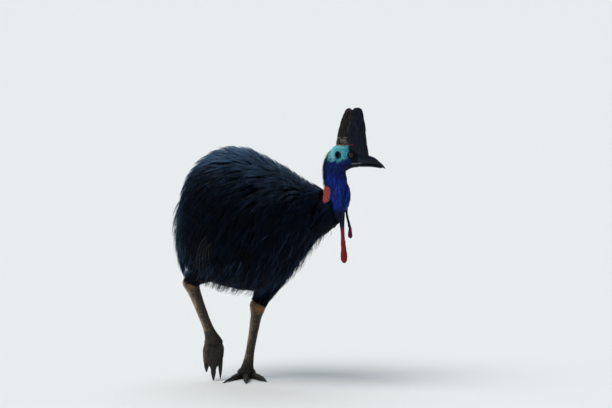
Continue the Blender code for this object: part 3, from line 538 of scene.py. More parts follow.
@dataclass(frozen=True)
class CasqueFinish:
    """Worn horn: slate black in front, brown behind, with fine upright streaks and pale flakes at the foot.
    """

    slate: Colour = (0.0024, 0.0050, 0.0115)
    slate_worn: Colour = (0.0150, 0.0170, 0.0270)
    brown: Colour = (0.0056, 0.0050, 0.0046)
    tan: Colour = (0.0560, 0.0480, 0.0440)
    flake: Colour = (0.3300, 0.3000, 0.2600)
    hem: Colour = (0.4000, 0.2000, 0.1000)
    flush: Colour = (0.2600, 0.0350, 0.0450)
    skin: Colour = (0.0180, 0.3600, 0.4300)

    def material(self) -> bpy.types.Material:
        """Streaks are noise stretched upwards, and flakes are cells near the foot of the rear."""
        nodes = Nodes("casque_horn")
        streaks = nodes.noise(1.0, 6.0, nodes.stretched((210.0, 210.0, 26.0)))
        patches = nodes.noise(55.0, 4.0)
        slate = nodes.mix(nodes.range(streaks, 0.46, 0.66, 0.0, 0.9), self.slate, self.slate_worn)
        brown = nodes.mix(nodes.range(streaks, 0.50, 0.76, 0.0, 0.75), self.brown, self.tan)
        colour = nodes.mix(nodes.attribute("rear"), slate, brown)
        scales = nodes.range(nodes.cells(230.0, edges=True), 0.04, 0.16, 0.0, 1.0)
        flakes = nodes.math("MULTIPLY", nodes.attribute("foot"), scales)
        flakes = nodes.math("MULTIPLY", flakes, nodes.range(patches, 0.40, 0.58, 0.0, 1.0))
        colour = nodes.mix(flakes, colour, self.flake)
        colour = nodes.mix(nodes.attribute("furrow"), colour, self.tan)
        broken = nodes.math(
            "MULTIPLY", nodes.attribute("hem"), nodes.range(nodes.noise(170.0, 3.0), 0.36, 0.56, 0.15, 1.0)
        )
        colour = nodes.mix(broken, colour, nodes.mix(nodes.attribute("flush"), self.hem, self.flush))
        nodes.colour(nodes.mix(nodes.attribute("skirt"), colour, self.skin))
        nodes.roughness(nodes.range(streaks, 0.3, 0.7, 0.34, 0.58))
        nodes.set(Specular_IOR_Level=0.16)
        raised = nodes.math("MULTIPLY", scales, nodes.attribute("foot"))
        nodes.bump((streaks, 0.0016), (raised, 0.0010), (nodes.noise(480.0, 3.0), 0.0003))
        return nodes.material


@dataclass(frozen=True)
class HornFinish:
    """Smooth dark horn with fine streaks, paler along a marked edge."""

    name: str
    dark: Colour = (0.0026, 0.0070, 0.0135)
    worn: Colour = (0.0120, 0.0260, 0.0420)
    edge: Colour = (0.2600, 0.2800, 0.3000)
    streak: Colour = (90.0, 90.0, 300.0)
    gloss: float = 0.34

    def material(self) -> bpy.types.Material:
        """Streaks are stretched noise, and the pale edge follows the piece's own mask."""
        nodes = Nodes(self.name)
        streaks = nodes.noise(1.0, 5.0, nodes.stretched(self.streak))
        colour = nodes.mix(nodes.range(streaks, 0.48, 0.80, 0.0, 0.8), self.dark, self.worn)
        colour = nodes.mix(nodes.attribute("edge"), colour, self.edge)
        nodes.colour(colour)
        nodes.roughness(nodes.range(streaks, 0.3, 0.7, self.gloss - 0.06, self.gloss + 0.12))
        nodes.set(Specular_IOR_Level=0.22)
        nodes.bump((streaks, 0.0009), (nodes.noise(520.0, 3.0), 0.0002))
        return nodes.material


@dataclass(frozen=True)
class EyeFinish:
    """A wet eye: black pupil, amber iris with fine rays, dark rim."""

    pupil: Colour = (0.0015, 0.0015, 0.0020)
    amber: Colour = (0.0700, 0.0280, 0.0100)
    gold: Colour = (0.1500, 0.0850, 0.0380)
    rim: Colour = (0.0040, 0.0030, 0.0030)

    def material(self) -> bpy.types.Material:
        """Colour by the angle from the eye's axis, with noise along the rays."""
        nodes = Nodes("eye_wet")
        away = nodes.attribute("away")
        rays = nodes.noise(420.0, 3.0)
        iris = nodes.mix(nodes.range(rays, 0.35, 0.7, 0.0, 1.0), self.amber, self.gold)
        colour = nodes.mix(nodes.range(away, 0.33, 0.37, 1.0, 0.0), iris, self.pupil)
        colour = nodes.mix(nodes.range(away, 0.60, 0.72, 0.0, 1.0), colour, self.rim)
        nodes.colour(colour)
        nodes.set(Roughness=0.15, Specular_IOR_Level=0.12, Coat_Weight=0.12, Coat_Roughness=0.03)
        return nodes.material


@dataclass(frozen=True)
class WattleFinish:
    """Soft hanging skin: blue black at the root, crimson below, with a fine grain."""

    crimson: Colour = (0.1700, 0.0060, 0.0100)
    bright: Colour = (0.3000, 0.0220, 0.0300)
    purple: Colour = (0.2400, 0.0090, 0.0620)
    root: Colour = (0.0040, 0.0065, 0.0220)
    blue: Colour = (0.0060, 0.0180, 0.1500)

    def material(self) -> bpy.types.Material:
        """Colour by the share of the way down, with pores and lengthwise wrinkles as bump."""
        nodes = Nodes("wattle_skin")
        mottle = nodes.noise(120.0, 5.0)
        red = nodes.mix(nodes.range(mottle, 0.40, 0.68, 0.0, 0.8), self.crimson, self.bright)
        upper = nodes.mix(nodes.attribute("purple"), red, self.purple)
        upper = nodes.mix(nodes.attribute("root"), upper, self.root)
        nodes.colour(nodes.mix(nodes.attribute("blue"), upper, self.blue))
        nodes.roughness(nodes.range(mottle, 0.3, 0.7, 0.36, 0.56))
        nodes.set(Specular_IOR_Level=0.14)
        nodes.bump((nodes.cells(560.0), 0.0007), (nodes.noise(260.0, 3.0), 0.0008))
        return nodes.material


@dataclass(frozen=True)
class ScaleFinish:
    """Scaled leg skin: dull grey brown plates with dark joints and a warmer tone behind, with a painted shade streak
    and a painted strip of light down the shank.
    """

    name: str
    plate: Colour = (0.0460, 0.0330, 0.0190)
    worn: Colour = (0.1500, 0.1100, 0.0640)
    joint: Colour = (0.0130, 0.0115, 0.0095)
    warm: Colour = (0.2600, 0.1150, 0.0240)
    # pale: painted light, a lit strip down one side of the shank and foot
    pale: Colour = (0.4200, 0.3100, 0.2000)

    def material(self) -> bpy.types.Material:
        """Plates and joints follow the mesh's own relief, stored in its masks, which also carry painted shade and
        painted light.
        """
        nodes = Nodes(self.name)
        mottle = nodes.noise(85.0, 5.0)
        colour = nodes.mix(nodes.range(mottle, 0.38, 0.66, 0.0, 1.0), self.plate, self.worn)
        # painted light: the pale strip
        colour = nodes.mix(nodes.attribute("strip"), colour, self.pale)
        colour = nodes.mix(nodes.attribute("warmth"), colour, self.warm)
        # joints and painted shade
        colour = nodes.mix(nodes.attribute("seam"), colour, self.joint)
        nodes.colour(colour)
        nodes.roughness(nodes.range(mottle, 0.3, 0.7, 0.45, 0.68))
        nodes.set(Specular_IOR_Level=0.30)
        nodes.bump(
            (nodes.range(nodes.cells(260.0, edges=True), 0.0, 0.2, 0.0, 1.0), 0.0007), (mottle, 0.0009)
        )
        return nodes.material


@dataclass(frozen=True)
class StudioFinish:
    """Plain pale floor."""

    tone: Colour = (0.80, 0.80, 0.79)

    def material(self) -> bpy.types.Material:
        """One matt tone."""
        nodes = Nodes("studio_floor")
        nodes.set(Base_Color=(*self.tone, 1.0))
        nodes.set(Roughness=0.9, Specular_IOR_Level=0.1)
        return nodes.material


@dataclass(frozen=True)
class BodyForm:
    """The egg of the body. Its side outline is a closed curve of radii about the middle, coat included."""

    centre: tuple[float, float, float] = (-0.192, 0.0, 0.782)
    outline: tuple[tuple[float, float], ...] = (
        (0, 0.535), (8, 0.508), (15, 0.474), (25, 0.407), (39, 0.355), (53, 0.329), (68, 0.323), (84, 0.329),
        (100, 0.338), (116, 0.341), (132, 0.337), (148, 0.326), (166, 0.316), (183, 0.321), (196, 0.334),
        (212, 0.358), (232, 0.358), (252, 0.334), (272, 0.336), (289, 0.358), (304, 0.380), (318, 0.378),
        (333, 0.389), (345, 0.422), (353, 0.478),
    )
    half_width: float = 0.235
    narrowing: float = 0.10
    fullness: float = 2.2
    hang_from: float = 0.45
    turning: float = 0.7

    @property
    def middle(self) -> Array:
        """The body's middle as an array."""
        return np.array(self.centre)

    @property
    def mean_radius(self) -> float:
        """The mean of the outline's radii."""
        return float(np.mean([size for _, size in self.outline]))

    def radius(self, angle: Array) -> Array:
        """The outline's radius at an angle above straight ahead: a cubic between rows, whose slopes are those
        of
        the rows' neighbours."""
        degrees = np.degrees(angle) % 360
        at, size = np.array(self.outline, float).T
        at = np.concatenate([at[-2:] - 360, at, at[:2] + 360])
        size = np.concatenate([size[-2:], size, size[:2]])
        slope = np.gradient(size, at)
        before = np.clip(np.searchsorted(at, degrees, side="right") - 1, 0, len(at) - 2)
        span = at[before + 1] - at[before]
        share = (degrees - at[before]) / span
        return (
            (2 * share**3 - 3 * share**2 + 1) * size[before]
            + (share**3 - 2 * share**2 + share) * span * slope[before]
            + (3 * share**2 - 2 * share**3) * size[before + 1]
            + (share**3 - share**2) * span * slope[before + 1]
        )

    def level(self, points: Array) -> Array:
        """0 at the middle and 1 on the coat's surface: (r^n + s^n)^(1/n), where r is the reach in the side
        view
        over the outline's radius, and s the reach sideways over the half width, which narrows towards the
        back."""
        offset = points - self.middle
        angle = np.arctan2(offset[..., 2], offset[..., 0])
        reach = np.hypot(offset[..., 0], offset[..., 2]) / self.radius(angle)
        aside = np.abs(offset[..., 1]) / self.half_width
        steepness = reach / np.hypot(reach, aside + 1e-9)
        aside = aside / (1 - self.narrowing * np.sin(angle) * steepness)
        return (reach**self.fullness + aside**self.fullness) ** (1 / self.fullness)

    def to_level(self, points: Array, level: Array | float) -> Array:
        """Points moved along the line from the body's middle until they lie at a level."""
        offset = points - self.middle
        return self.middle + offset * (level / self.level(points))[..., None]

    def normal(self, points: Array) -> Array:
        """The outward direction of the level surface through each point, from small steps along each axis."""
        step = 1e-4
        here = self.level(points)
        slopes = [self.level(points + np.eye(3)[axis] * step) - here for axis in range(3)]
        return unit(np.stack(slopes, -1))

    def flow(self, points: Array) -> Array:
        """The way the coat lies: back along the spine, and steeper down towards flanks, chest and rump."""
        height = np.clip((points[..., 2:] - self.centre[2]) / self.mean_radius, 0, 1)
        rear = np.clip((self.centre[0] - points[..., :1]) / self.mean_radius, 0, 1)
        back = 0.50 + 0.42 * height - 0.30 * rear
        return unit(np.concatenate([-back, 0 * back, back - 1.35 + 0.20 * height], -1))

    def drape(self, roots: Array, lengths: Array, levels: Array, sway: Array, cap: float) -> Array:
        """Paths that march from roots along the coat's lie, one point for each level.

        Each step goes along the lie, blended with the last heading. Where the lie points away from the body,
        as
        under the belly, the path leaves the surface and hangs free, out to a cap.

        Args:
            roots: where the paths start.
            lengths: how long each path is.
            levels: the level of each point of each path.
            sway: how far each path's heading is turned sideways, as a slope.
            cap: the highest level that a hanging path may reach.

        Returns:
            The paths as an array of paths by points by 3.
        """
        points = self.to_level(roots, levels[:, 0])
        paths = [points]
        heading = self.flow(points)
        step = (lengths / (levels.shape[1] - 1))[:, None]
        for level in levels.T[1:]:
            out = self.normal(points)
            flow = self.flow(points)
            flow = unit(flow + np.cross(out, flow) * sway[:, None])
            leaving = (flow * out).sum(-1, keepdims=True)
            along = flow - out * np.where(leaving > 0, leaving * (1 - leaving), leaving)
            heading = unit(unit(along) + self.turning * heading)
            points = points + heading * step
            free = np.clip(self.level(points), level, cap)
            points = self.to_level(points, np.where(leaving[:, 0] > self.hang_from, free, level))
            paths.append(points)
        return np.stack(paths, 1)

    def roots(self, count: int, level: float, seed: int) -> Array:
        """Places spread evenly over the level surface.

        A golden-angle spiral covers a sphere evenly. It is stretched to the body's half axes, and a place is
        kept
        with a chance equal to how much the stretch widens the surface there, so that none of it is crowded.
        """
        rng = np.random.default_rng(seed)
        number = np.arange(count * 2) + 0.5
        along = 1 - number / count
        ring = np.sqrt(1 - along**2)
        turn = number * GOLDEN_TURN
        sphere = np.stack([along, ring * np.cos(turn), ring * np.sin(turn)], -1)
        size = np.array([0.43, self.half_width, 0.34])
        widening = np.linalg.norm(sphere / size, axis=1) * size.prod()
        kept = rng.uniform(0, widening.max(), len(sphere)) < widening
        spread = sphere[kept] * size + rng.uniform(-0.006, 0.006, (kept.sum(), 3))
        return self.to_level(self.middle + spread, level)

    def unwrap(self, points: Array) -> Array:
        """The place of a point on the skin's unwrap: its turn round the body's long axis, and its place
        along.
        """
        offset = points - self.middle
        around = np.arctan2(offset[..., 1], offset[..., 2]) / (2 * math.pi) + 0.5
        along = np.clip((offset[..., 0] + 0.40) / 1.0, 0, 1)
        return np.stack([0.01 + 0.97 * around, 0.01 + 0.97 * along], -1)


@dataclass(frozen=True)
class NeckForm:
    """The neck and head as rings in an upright plane that turns to the bird's left on its way up.

    Each station has the back of the ring and its front as (forward, height), the half width and the turn.
    """

    root_x: float = 0.328
    stations: tuple[tuple[float, ...], ...] = (
        (-0.1000, 0.8450, -0.0120, 0.7450, 0.0500, 0),
        (-0.0600, 0.8920, 0.0380, 0.8120, 0.0480, 6),
        (-0.0573, 0.9205, 0.0600, 0.8720, 0.0465, 12),
        (-0.0535, 0.9488, 0.0573, 0.9350, 0.0450, 18),
        (-0.0582, 0.9865, 0.0450, 0.9840, 0.0430, 24),
        (-0.0582, 1.0290, 0.0430, 1.0075, 0.0415, 28),
        (-0.0492, 1.0666, 0.0560, 1.0180, 0.0415, 30),
        (-0.0310, 1.1019, 0.0730, 1.0260, 0.0410, 30),
        (-0.0024, 1.1270, 0.0860, 1.0285, 0.0390, 30),
        (0.0450, 1.1300, 0.0945, 1.0290, 0.0340, 30),
        (0.1000, 1.1000, 0.1000, 1.0290, 0.0225, 30),
    )
    head_turn: float = 30.0
    ring_power: float = 2.15

    def world(self, forward: Array, side: Array, height: Array, turn: Array | float) -> Array:
        """A point of the turned plane in the frame: forward and side are turned to the left by turn degrees.
        """
        angle = np.radians(turn)
        return np.stack(np.broadcast_arrays(
            self.root_x + forward * np.cos(angle) - side * np.sin(angle),
            forward * np.sin(angle) + side * np.cos(angle),
            height,
        ), -1)

    def head(self, forward: float, side: float, height: float) -> Array:
        """A point in the head's plane."""
        return self.world(np.float64(forward), np.float64(side), np.float64(height), self.head_turn)

    def plane(self, points: Array) -> tuple[Array, Array, Array]:
        """Forward, side and height of points, with the turn read from their height."""
        read = np.array(self.stations)
        turn = np.radians(np.interp(points[..., 2], (read[:, 1] + read[:, 3]) / 2, read[:, 5]))
        x, y = points[..., 0] - self.root_x, points[..., 1]
        return x * np.cos(turn) + y * np.sin(turn), -x * np.sin(turn) + y * np.cos(turn), points[..., 2]

    def rings_of(self, profile: Array, turns: Array, sides: int, power: float) -> Array:
        """Rings from (rear forward, rear height, front forward, front height, half width): the ring's middle
        is
        halfway between rear and front, and its second axis points to the turned plane's left."""
        back = self.world(profile[:, 0], 0 * turns, profile[:, 1], turns)
        front = self.world(profile[:, 2], 0 * turns, profile[:, 3], turns)
        angle = np.radians(turns)
        left = np.stack([-np.sin(angle), np.cos(angle), 0 * angle], -1)
        return loft((back + front) / 2, (back - front) / 2, left * profile[:, 4:5], sides, power)

    def neck_rings(self, count: int, sides: int) -> Array:
        """Rings of the whole neck and head."""
        read = evenly(np.array(self.stations), count)
        return self.rings_of(read[:, :5], read[:, 5], sides, self.ring_power)

    def head_rings(self, profile: Array, sides: int, power: float = 2.0) -> Array:
        """Rings in the head's plane."""
        return self.rings_of(profile, np.full(len(profile), self.head_turn), sides, power)

    def axes(self, along: float, side: float, up: float) -> Array:
        """Half axes of an ellipsoid that stands straight in the head's plane, its poles to the sides."""
        turn = math.radians(self.head_turn)
        ahead = np.array([math.cos(turn), math.sin(turn), 0.0])
        left = np.array([-math.sin(turn), math.cos(turn), 0.0])
        return np.stack([left * side, ahead * along, UP * up])


@dataclass(frozen=True)
class ThighForm:
    """A drumstick from its root in the body to the ankle, with the coat's radius along it."""

    side: Side
    root: tuple[float, float, float]
    ankle: tuple[float, float, float]
    heel: float = 0.0
    hem: float = 1.0
    radii: tuple[float, ...] = (0.080, 0.090, 0.076, 0.056, 0.040)
    skin_share: float = 0.60

    def line(self, shares: Array) -> tuple[Array, Array, Array, Array]:
        """Middles, coat radii, and the side and front directions at shares of the length."""
        start, end = np.array(self.root), np.array(self.ankle)
        along = unit(end - start)
        side = unit(np.cross(along, [0.0, 1.0, 0.0]))
        stations = np.array(self.radii)[:, None]
        size = spline(stations, np.ravel(shares) * (len(stations) - 1)).reshape(*np.shape(shares), 1)
        return start + (end - start) * np.asarray(shares)[..., None], size, side, np.cross(along, side)


BODY_FORM = BodyForm()
NECK_FORM = NeckForm()
LEFT_THIGH = ThighForm(Side.LEFT, (0.030, 0.098, 0.660), (-0.134, 0.070, 0.3595), 0.0, 0.965)
RIGHT_THIGH = ThighForm(Side.RIGHT, (-0.060, -0.098, 0.660), (-0.415, -0.090, 0.469), 0.20)
EYE_PLACE = (0.0654, 0.0225, 1.0854)
EYE_RADIUS = 0.0145
EAR_PLACE = (0.0043, 1.0880)


@dataclass
class Skin:
    """One skin for body, rump, thighs, wing stubs, neck and head, under the coat where there is one."""

    level: float = 0.80
    front_rise: float = 0.055
    rump_centre: tuple[float, float, float] = (-0.452, 0.0, 0.722)
    rump_half: tuple[float, float, float] = (0.052, 0.074, 0.100)
    stub_centre: tuple[float, float, float] = (-0.192, 0.180, 0.738)
    stub_half: tuple[float, float, float] = (0.060, 0.030, 0.036)
    neck_grid: tuple[int, int] = (330, 132)
    collar_edge: tuple[tuple[float, float], ...] = (
        (-0.075, 0.935), (-0.060, 0.905), (-0.054, 0.862), (-0.024, 0.846), (-0.013, 0.886), (-0.003, 0.880),
        (0.006, 0.838), (0.012, 0.805), (0.020, 0.776), (0.040, 0.745),
    )
    fold_pitch: float = 0.0125
    fold_depth: float = 0.0052

    def collar(self, forward: Array) -> Array:
        """The height at which the feathers of the neck end, for a place forward in the neck's plane."""
        edge = np.array(self.collar_edge)
        return np.interp(forward, edge[:, 0], edge[:, 1])

    def masks(self, points: Array) -> dict[str, Array]:
        """Where each colour of the skin lies, and where painted shade darkens it, from the place in the neck's plane.
        """
        ahead, side, height = NECK_FORM.plane(points)
        wobble = grain(points, 0.016, 3) * 0.006
        eye = np.hypot(ahead - EYE_PLACE[0], height - EYE_PLACE[2])
        ear = np.hypot(ahead - EAR_PLACE[0], (height - EAR_PLACE[1]) * 0.72)
        on_side = ease(0.010, 0.022, np.abs(side))
        lower_edge = np.interp(
            ahead, (-0.050, -0.020, 0.020, 0.045, 0.062), (1.068, 1.063, 1.061, 1.067, 1.082)
        )
        ragged = grain(points, 0.007, 4) * 0.0035
        turquoise = (
            ease(-0.010, 0.008, height + 1.4 * wobble + ragged - lower_edge)
            * ease(0.066, 0.056, ahead + wobble * 0.5)
        )
        black_from = np.interp(
            height, (0.99, 1.030, 1.050, 1.075, 1.100, 1.130), (0.052, 0.060, 0.066, 0.058, 0.062, 0.045)
        )
        dark = ease(-0.007, 0.006, ahead + wobble * 0.5 - black_from) * ease(0.985, 1.02, height)
        dark = np.maximum(dark, hump(np.maximum(eye - 0.0125, 0), 0.0042))
        # painted shade: black in the ear's hollow
        dark = np.maximum(dark, ease(0.0112, 0.0085, ear + wobble * 0.2))
        shade = np.hypot(ahead - EAR_PLACE[0] - 0.004, (height - EAR_PLACE[1] + 0.002) * 0.80)
        navy = 0.9 * ease(0.0165, 0.0115, shade + 0.4 * wobble + 0.5 * ragged) * on_side
        rear = self.nape(height)
        ridge = np.interp(height, (1.00, 1.05, 1.08), (0.016, 0.012, 0.006))
        dark = np.maximum(
            dark, 0.85 * ease(ridge, ridge - 0.010, ahead - rear + wobble) * ease(0.935, 0.955, height)
        )
        near = ease(-0.035, -0.020, ahead - rear) * ease(0.060, 0.052, np.abs(side))
        wide = np.interp(height, (0.845, 0.870, 0.900, 0.925, 0.944), (0.032, 0.036, 0.040, 0.036, 0.020))
        edge = ease(0.006, -0.004, ahead - rear - wide + wobble + 1.3 * ragged)
        red = near * edge * ease(0.948, 0.936, height + wobble + ragged)
        red = (
            red * np.maximum(ease(0.858, 0.872, height + wobble), 0.75 * ease(0.80, 0.97, self.fold(points)))
        )
        # painted shade: the skin under the coat, below the collar and over the body, is painted black
        painted_shade_under_coat = np.maximum(ease(0.004, -0.010, height - self.collar(ahead)), 1 - near)
        line = np.interp(ahead, (0.028, 0.076), (1.1275, 1.1165))
        dark = np.maximum(dark, 0.9 * hump(height - line, 0.0022) * ease(0.022, 0.034, ahead) * on_side)
        return {
            "turquoise": turquoise,
            "pallor": np.clip(
                0.85 * ease(0.000, -0.022, ahead) * turquoise + 0.7 * ease(1.112, 1.122, height) * on_side
                + 0.7 * hump((height - 1.1048 + 1.394 * (ahead - 0.010)) / 1.716, 0.0035)
                * ease(0.002, 0.010, ahead) * ease(0.040, 0.034, ahead), 0, 1,
            ),
            "red": red,
            "navy": np.clip(
                ease(0.852, 0.812, height + 2 * wobble)
                + 0.55 * ease(1.055, 1.03, height) * ease(0.02, 0.05, ahead) * ease(0.96, 1.0, height)
                + 0.55 * ease(0.018, 0.004, np.abs(ahead - rear - 0.042)) * ease(0.96, 0.93, height)
                + 0.45 * ease(0.975, 1.00, height + 2 * wobble), 0, 1,
            ),
            "shade": navy,
            "dark": np.clip(np.maximum(dark, painted_shade_under_coat), 0, 1),
            "gape": 0.90 * hump(height - 1.0455, 0.0026) * ease(0.066, 0.074, ahead) * on_side,
            "fold_shade": self.painted_fold_shade(points),
        }

    def nape(self, height: Array) -> Array:
        """The place of the nape in the neck's plane at a height."""
        return np.interp(height, (0.84, 0.93, 1.00, 1.06, 1.10), (-0.058, -0.054, -0.058, -0.048, -0.030))

    def fold(self, points: Array) -> Array:
        """The folds across the nape: 0 in a valley and 1 on a crest, slanting down towards the front."""
        ahead, _, height = NECK_FORM.plane(points)
        slant = height + 0.75 * (ahead - self.nape(height)) + 0.007 * grain(points, 0.016, 5)
        cross = height - 0.95 * (ahead - self.nape(height)) + 0.006 * grain(points, 0.016, 6)
        folds = np.abs(np.sin(math.pi * slant / self.fold_pitch))
        return folds * (0.55 + 0.45 * np.abs(np.sin(math.pi * cross / (1.5 * self.fold_pitch))))

    def front_groove(self, points: Array) -> tuple[Array, Array]:
        """How far a place lies in front of the groove that runs down the neck's front, and where the groove
        is.
        """
        ahead, _, height = NECK_FORM.plane(points)
        low = ease(0.99, 0.94, height) * ease(0.80, 0.84, height)
        return ahead - np.interp(height, (0.81, 0.88, 0.95), (0.040, 0.048, 0.052)), low

    def painted_fold_shade(self, points: Array) -> Array:
        """Painted shade in the folds: dark in the valleys across the nape, and down the groove in front."""
        ahead, _, height = NECK_FORM.plane(points)
        across = ease(0.66, 0.30, self.fold(points)) * ease(0.052, 0.030, ahead - self.nape(height))
        across = across * ease(0.965, 0.940, height)
        groove, low = self.front_groove(points)
        return np.maximum(0.92 * across, 0.80 * low * hump(groove, 0.0032))

    def relief(self, rings: Array) -> Array:
        """How far the skin stands out: folds across the nape, long wrinkles down the neck, a dish and ridges
        round each eye, the ear's cup and rim, the mouth's groove, and a rim along the casque's foot."""
        ahead, side, height = NECK_FORM.plane(rings)
        around = np.arctan2(
            side, ahead - np.interp(height, (0.80, 0.95, 1.00, 1.10), (0.0, 0.0, -0.006, 0.03))
        )
        rear = self.nape(height)
        nape = ease(0.052, 0.026, ahead - rear) * ease(0.975, 0.950, height) * ease(0.80, 0.83, height)
        folds = self.fold(rings) ** 0.7
        lift = nape * self.fold_depth * (folds - 0.45) * (0.75 + 0.35 * grain(rings, 0.009, 6))
        bare = ease(0.83, 0.86, height)
        streaks = creases(np.stack([around * 0.055, height * 0.22, 0 * height], -1), 0.010, 7)
        lift += bare * (1 - nape) * ease(1.075, 1.03, height) * 0.0026 * streaks
        lift += bare * 0.0009 * creases(rings, 0.0085, 9) + 0.0012 * bare * grain(rings, 0.028, 11)
        groove, low = self.front_groove(rings)
        lift += low * (0.0034 * hump(groove - 0.012, 0.008) - 0.0050 * hump(groove, 0.0034))
        lift += low * 0.0022 * hump(groove + 0.016, 0.010)
        flank = ease(0.012, 0.020, np.abs(side))
        eye = np.hypot(ahead - EYE_PLACE[0], height - EYE_PLACE[2])
        lift += (
            flank
            * (-0.0052 * hump(eye, 0.0120) + 0.0021 * hump(eye - 0.0175, 0.0028) + 0.0011 * hump(eye - 0.0235, 0.0024))
        )
        brow = hump(height - 1.1035 + 0.25 * (ahead - 0.065), 0.0050) * hump(ahead - 0.060, 0.022)
        lift += flank * 0.0034 * brow
        ear = np.hypot(ahead - EAR_PLACE[0], (height - EAR_PLACE[1]) * 0.72)
        lift += flank * (-0.0095 * hump(ear, 0.0068) + 0.0026 * hump(ear - 0.0122, 0.0028))
        mouth = height - (1.0437 - 0.10 * np.clip(0.075 - ahead, 0, 1))
        lift += (
            flank * ease(0.052, 0.066, ahead)
            * (-0.0030 * hump(mouth, 0.0016) + 0.0012 * hump(mouth - 0.0045, 0.0026))
        )
        lift += (
            flank * 0.0024 * hump(height - 1.1225 + 0.23 * (ahead - 0.02), 0.0030) * ease(0.075, 0.05, ahead)
        )
        cheek = hump(np.hypot(ahead - 0.040, (height - 1.060) * 1.3), 0.020)
        return lift + flank * 0.0022 * cheek

    def neck_and_head(self) -> bpy.types.Object:
        """The neck and head as a fine tube pushed out along its normals by the relief."""
        rings = NECK_FORM.neck_rings(*self.neck_grid)
        lift = self.relief(rings)
        number = np.arange(len(rings), dtype=float)[:, None]
        end = ease(9.0, 0.0, number[::-1])
        lift = lift * ease(0.0, 6.0, number) * (1 - end) - 0.0030 * end**2
        return tube("neck_and_head", rings + normals_of(rings) * lift[..., None])

    def lids(self, side: Side) -> list[bpy.types.Object]:
        """Rims of thin skin round one eye: each is an almond loop on the eyeball with a round section."""
        made = []
        for number, (reach, thick) in enumerate(((0.0112, 0.0019), (0.0140, 0.0021))):
            turn = np.linspace(0, 2 * math.pi, 73)[:-1]
            almond = reach * (1 - 0.13 * np.sin(turn) ** 2 + 0.02 * np.sin(3 * turn + number))
            ahead, up = almond * np.cos(turn) * 1.06, almond * np.sin(turn)
            depth = np.sqrt(np.maximum(EYE_RADIUS**2 - ahead**2 - up**2, 0)) + 0.0004
            loop = NECK_FORM.world(
                EYE_PLACE[0] + ahead, side.value * (EYE_PLACE[1] + depth), EYE_PLACE[2] + up,
                NECK_FORM.head_turn
            )
            middle = NECK_FORM.head(EYE_PLACE[0], side.value * EYE_PLACE[1], EYE_PLACE[2])
            out = unit(loop - middle)
            along = unit(np.roll(loop, -1, 0) - np.roll(loop, 1, 0))
            across = np.cross(along, out)
            wave = (thick * (1 + 0.16 * np.sin(9 * turn + 2 * number)))[:, None]
            made.append(hoop("lid", loft(loop, out * wave, across * wave * 1.15, 12)))
        return made

    def trunk(self) -> bpy.types.Object:
        """The body under the coat: the level surface on a grid of latitudes and longitudes about its long
        axis.
        """
        turn = np.linspace(0, math.pi, 62)[1:-1]
        around = np.arange(72) * 2 * math.pi / 72
        directions = np.stack(np.broadcast_arrays(
            np.cos(turn)[:, None],
            np.sin(turn)[:, None] * np.sin(around),
            np.sin(turn)[:, None] * np.cos(around),
        ), -1)
        level = self.level + self.front_rise * ease(0.55, 0.95, directions[..., 0])
        return tube("skin", BODY_FORM.to_level(BODY_FORM.middle + directions, level))

    def thigh(self, form: ThighForm) -> bpy.types.Object:
        """A drumstick under its coat, down into the ankle."""
        middle, size, side, front = form.line(np.linspace(0.0, 0.985, 50))
        return tube("thigh", loft(middle, side * size * form.skin_share, front * size * form.skin_share, 40))

    def build(self) -> bpy.types.Object:
        """Fuses the pieces of the skin and stores its colour masks."""
        skin = self.trunk()
        pieces = [self.neck_and_head(), self.thigh(LEFT_THIGH), self.thigh(RIGHT_THIGH)]
        pieces.append(ball("rump", np.array(self.rump_centre), np.diag(self.rump_half)))
        for side in Side:
            mirrored = np.array(self.stub_centre) * (1, side.value, 1)
            pieces.append(ball("stub", mirrored, np.diag(self.stub_half)))
            pieces += self.lids(side)
        fuse(skin, pieces)
        points = points_of(skin)
        for name, values in self.masks(points).items():
            mark(skin, name, values)
        place(
            skin, SkinFinish().material(), Slot.NECK_SKIN,
            "torso", "tail", "neck", "head", "thigh_left", "thigh_right",
        )
        return skin


